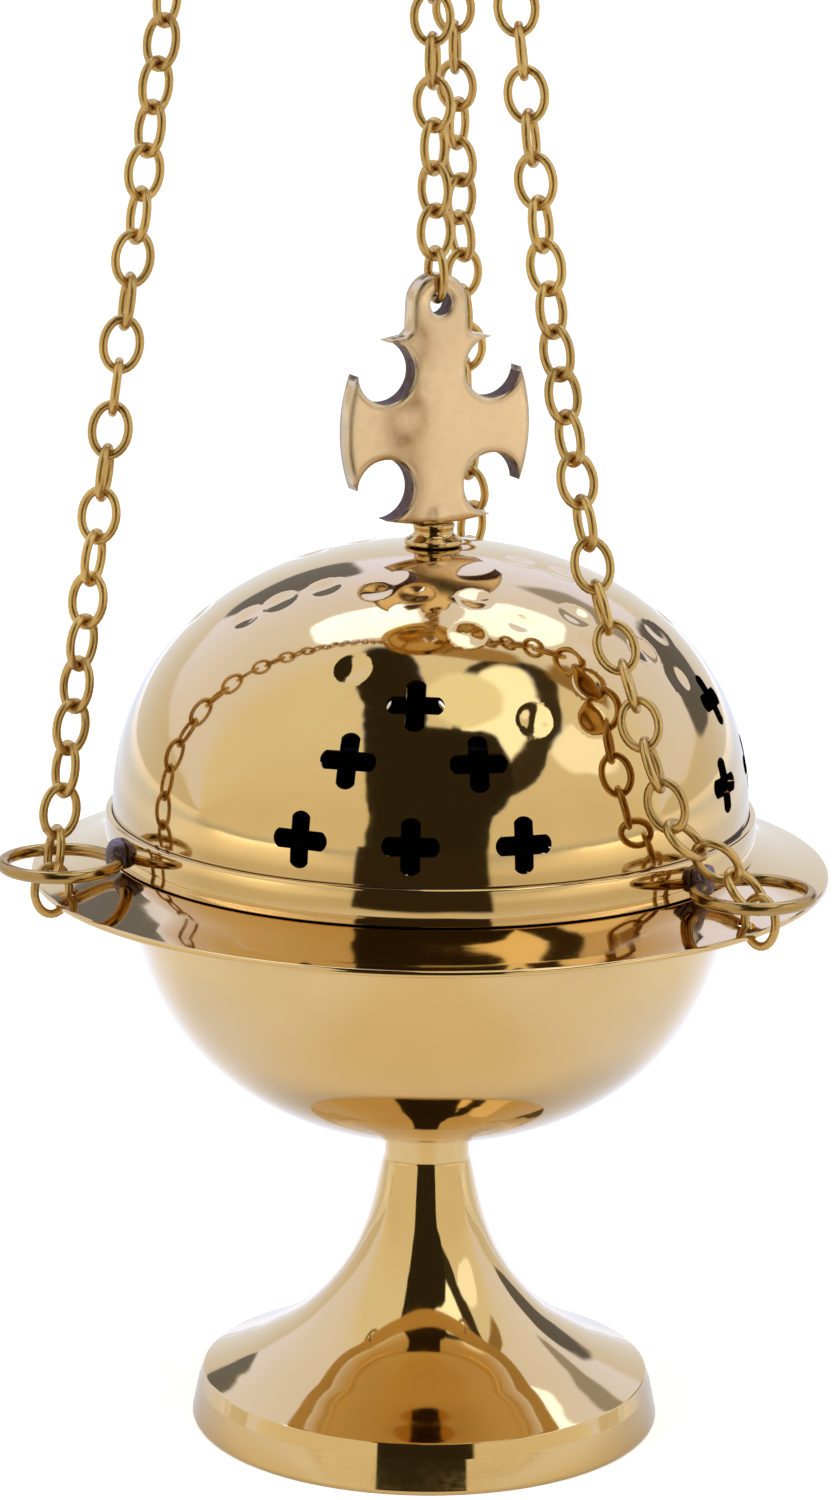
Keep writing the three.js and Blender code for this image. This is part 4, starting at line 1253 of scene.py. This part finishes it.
def make_floor():
    """Pale paper, white to its far edge. Mirrors see it with painted light and painted shade, and with a
    painted dark patch that runs from the front of it.
    """
    material, tree = new_material("floor_paper")
    spot = add(tree, "ShaderNodeTexCoord").outputs["Object"]
    x, y, _ = add(tree, "ShaderNodeSeparateXYZ", [spot]).outputs
    away = add(tree, "ShaderNodeVectorMath", [spot], operation="LENGTH").outputs["Value"]
    ahead = add(tree, "ShaderNodeMath", [y, -1.0], operation="MULTIPLY")
    aside = add(tree, "ShaderNodeMath", [x, ahead], operation="DIVIDE")
    out = add(tree, "ShaderNodeMath", [x], operation="ABSOLUTE")
    matt = add(tree, "ShaderNodeBsdfDiffuse", [linear("F4F4F2")])
    glow = add(tree, "ShaderNodeEmission", [WHITE, soft_steps(tree, (y, 0.5, 3.0, 0.4, 0.75))])
    shown = add(tree, "ShaderNodeAddShader", [matt, glow])
    # In mirrors the paper has painted shade round the object, painted light from behind and beside it, and is
    # painted pale far off
    tone = add(tree, "ShaderNodeMix", {
        0: soft_steps(tree, (away, 0.2, 0.38, 0.0, 1.0), (away, 0.45, 0.65, 1.0, 0.0)),
        6: linear("E0DEDC"),
        7: linear("C9C6C2"),
    }, data_type="RGBA").outputs[2]
    paper = add(tree, "ShaderNodeBsdfDiffuse", [tone])
    for colour, steps in (
        (PAINTED_COOL_LIGHT, [(away, 0.4, 2.0, 0.0, 0.3), (away, 1.0, 3.0, 1.0, 0.0)]),
        (PAINTED_COOL_LIGHT, [(y, -0.1, 0.1, 0.0, 0.26)]),
        (PAINTED_BLUE_LIGHT, [(out, 0.03, 0.1, 0.0, 0.2), (y, -0.03, 0.06, 1.0, 0.2), (away, 0.2, 0.38, 1.0, 0.0)]),
        (WHITE, [(away, 1.0, 3.0, 0.0, 0.56)]),
    ):
        light = add(tree, "ShaderNodeEmission", [colour, soft_steps(tree, *steps)])
        paper = add(tree, "ShaderNodeAddShader", [paper, light])
    # A painted dark reflection: mirrors see a dark patch on the paper in front of the object, which the
    # camera doesn't see
    sides = (aside, -0.47, -0.45, 0.0, 1.0), (aside, 0.36, 0.39, 1.0, 0.0)
    painted_dark_patch = soft_steps(tree, *sides, (ahead, 0.3, 0.34, 0.0, 1.0))
    dark = add(tree, "ShaderNodeEmission", [linear("3A3226"), 1.0])
    mirrored = add(tree, "ShaderNodeMixShader", [painted_dark_patch, paper, dark])
    add(tree, "ShaderNodeOutputMaterial", [by_ray(tree, matt, mirrored, shown)])
    corners = [(sx * FLOOR_HALF, sy * FLOOR_HALF, 0) for sx, sy in ((-1, -1), (1, -1), (1, 1), (-1, 1))]
    linked("floor", plain_mesh("floor", corners, [], [range(4)], material))


# What polished metal mirrors besides the white tent: degrees up over the top from the front, how far to the
# side as a share of the way, the half sizes in the same measures, how square it is, its edge and its light
DARK = (0.035, 0.03, 0.02)
MIRRORED = [
    ((98, 0.0), (66, 1.8), 2, 0.9, (1.04, 1.1, 1.22)),
    ((130, 0.0), (32, 1.8), 2, 0.8, (1.03, 1.16, 1.75)),
    ((178, 0.0), (20, 1.6), 4, 0.35, (0.86, 0.88, 0.9)),
    ((114, -0.22), (9, 0.19), 4, 0.15, (2.0, 2.6, 4.6)),
    ((117, 0.26), (10, 0.17), 4, 0.15, (1.9, 2.4, 4.0)),
    ((60, 0.36), (37, 0.27), 2.5, 0.06, (0.06, 0.05, 0.035)),
    ((64, 0.33), (29, 0.19), 2, 0.12, (1.7, 1.95, 2.4)),
    ((72, 0.16), (14, 0.2), 2, 0.2, (1.25, 1.4, 1.5)),
    ((60, 0.76), (18, 0.14), 2, 0.2, (1.5, 1.7, 2.2)),
    ((0, -0.02), (57, 0.375), 6, 0.08, DARK),
    ((34, 0.27), (23, 0.19), 2, 0.08, DARK),
    ((68, -0.19), (31, 0.155), 2.5, 0.1, DARK),
    ((97, 0.6), (6, 0.14), 2, 0.3, (0.4, 0.28, 0.14)),
    ((97, 0.12), (4, 0.24), 2, 0.3, (0.5, 0.36, 0.2)),
    ((153, -0.27), (7, 0.15), 4, 0.2, (0.2, 0.22, 0.26)),
    ((160, 0.6), (11, 0.2), 2, 0.15, (0.16, 0.17, 0.2)),
    ((141, 0.4), (4, 0.22), 2, 0.3, (0.45, 0.47, 0.55)),
]
TENT = (0.97, 0.97, 0.95, 1.0)
EDGE_WAVER = 0.11
WAVER_SCALE = 3.5
PAST_BEHIND = -1.5  # directions lower than this behind count on past 180 degrees
MATT_FILL = 0.55
LAMPS_AIM = (0, 0, 0.09)
# Name, place, width and height in metres, and watts
SOFT_BOXES = [
    ("soft_box_left", (-0.95, -0.45, 0.55), 0.7, 1.2, 9),
    ("soft_box_right", (0.95, -0.35, 0.55), 0.7, 1.2, 9),
    ("soft_box_top", (-0.12, -0.35, 1.1), 0.3, 0.3, 3),
]


def make_world():
    """An even white tent. Mirrors see its dark front opening, its windows overhead and what lies behind."""
    world = bpy.data.worlds.new("studio")
    bpy.context.scene.world = world
    world.use_nodes = True
    tree = world.node_tree
    tree.nodes.clear()
    way = add(tree, "ShaderNodeTexCoord").outputs["Generated"]
    cloud = add(tree, "ShaderNodeTexNoise", {"Vector": way, "Scale": WAVER_SCALE, "Detail": 2.0})
    middle = (0.5, 0.5, 0.5)
    waver = add(tree, "ShaderNodeVectorMath", [cloud.outputs["Color"], middle], operation="SUBTRACT")
    shift = add(tree, "ShaderNodeVectorMath", {0: waver, "Scale": EDGE_WAVER}, operation="SCALE")
    bent = add(tree, "ShaderNodeVectorMath", [way, shift], operation="ADD")
    x, y, z = add(tree, "ShaderNodeSeparateXYZ", [bent]).outputs
    ahead = add(tree, "ShaderNodeMath", [y, -1.0], operation="MULTIPLY")
    over = add(tree, "ShaderNodeMath", [z, ahead], operation="ARCTAN2")
    behind = add(tree, "ShaderNodeMath", [over, PAST_BEHIND], operation="LESS_THAN")
    turned = add(tree, "ShaderNodeMath", [behind, 2 * math.pi, over], operation="MULTIPLY_ADD")
    degrees = add(tree, "ShaderNodeMath", [turned, 180 / math.pi], operation="MULTIPLY")
    colour = TENT
    for (up, side), (tall, wide), square, edge, light in MIRRORED:
        powers = []
        for value, middle, half in ((x, side, wide), (degrees, up, tall)):
            off = add(tree, "ShaderNodeMath", [value, middle], operation="SUBTRACT")
            share = add(tree, "ShaderNodeMath", [off, half], operation="DIVIDE")
            size = add(tree, "ShaderNodeMath", [share], operation="ABSOLUTE")
            powers.append(add(tree, "ShaderNodeMath", [size, square], operation="POWER"))
        far = add(tree, "ShaderNodeMath", powers, operation="ADD")
        colour = add(tree, "ShaderNodeMix", {
            0: soft_steps(tree, (far, 1 - edge, 1 + edge, 1.0, 0.0)),
            6: colour,
            7: (*light, 1.0),
        }, data_type="RGBA").outputs[2]
    fill, mirrored, plain = [
        add(tree, "ShaderNodeBackground", [tint, strength])
        for tint, strength in ((WHITE, MATT_FILL), (colour, 1.0), (WHITE, 1.0))
    ]
    add(tree, "ShaderNodeOutputWorld", [by_ray(tree, fill, mirrored, plain)])


def soft_box(name, where, width, height, watts):
    """A lamp that mirrors don't show, aimed at the bowl."""
    light = bpy.data.lights.new(name, "AREA")
    light.shape = "RECTANGLE"
    light.size, light.size_y = width, height
    light.energy = watts
    obj = linked(name, light)
    obj.location = where
    obj.rotation_euler = (Vector(LAMPS_AIM) - Vector(where)).to_track_quat("-Z", "Y").to_euler()
    obj.visible_glossy = False


def make_camera():
    where, right, up, forward = camera_frame()
    data = bpy.data.cameras.new("camera")
    data.sensor_fit = "AUTO"
    data.sensor_width = SENSOR
    data.lens = FOCAL_PIXELS * SENSOR / PHOTO_HEIGHT
    data.clip_start, data.clip_end = CAMERA_SEES
    camera = linked("camera", data)
    turn = Matrix((right, up, -forward)).transposed().to_4x4()
    camera.matrix_world = Matrix.Translation(Vector(place(where))) @ turn
    bpy.context.scene.camera = camera


make_camera()
make_foot()
make_bowl()
make_lid()
make_crown()
make_guide_rings()
make_chains()
make_cap()
make_pan()
dress_nodes()
make_floor()
make_world()
for lamp in SOFT_BOXES:
    soft_box(*lamp)
bpy.context.scene.view_settings.view_transform = "Standard"
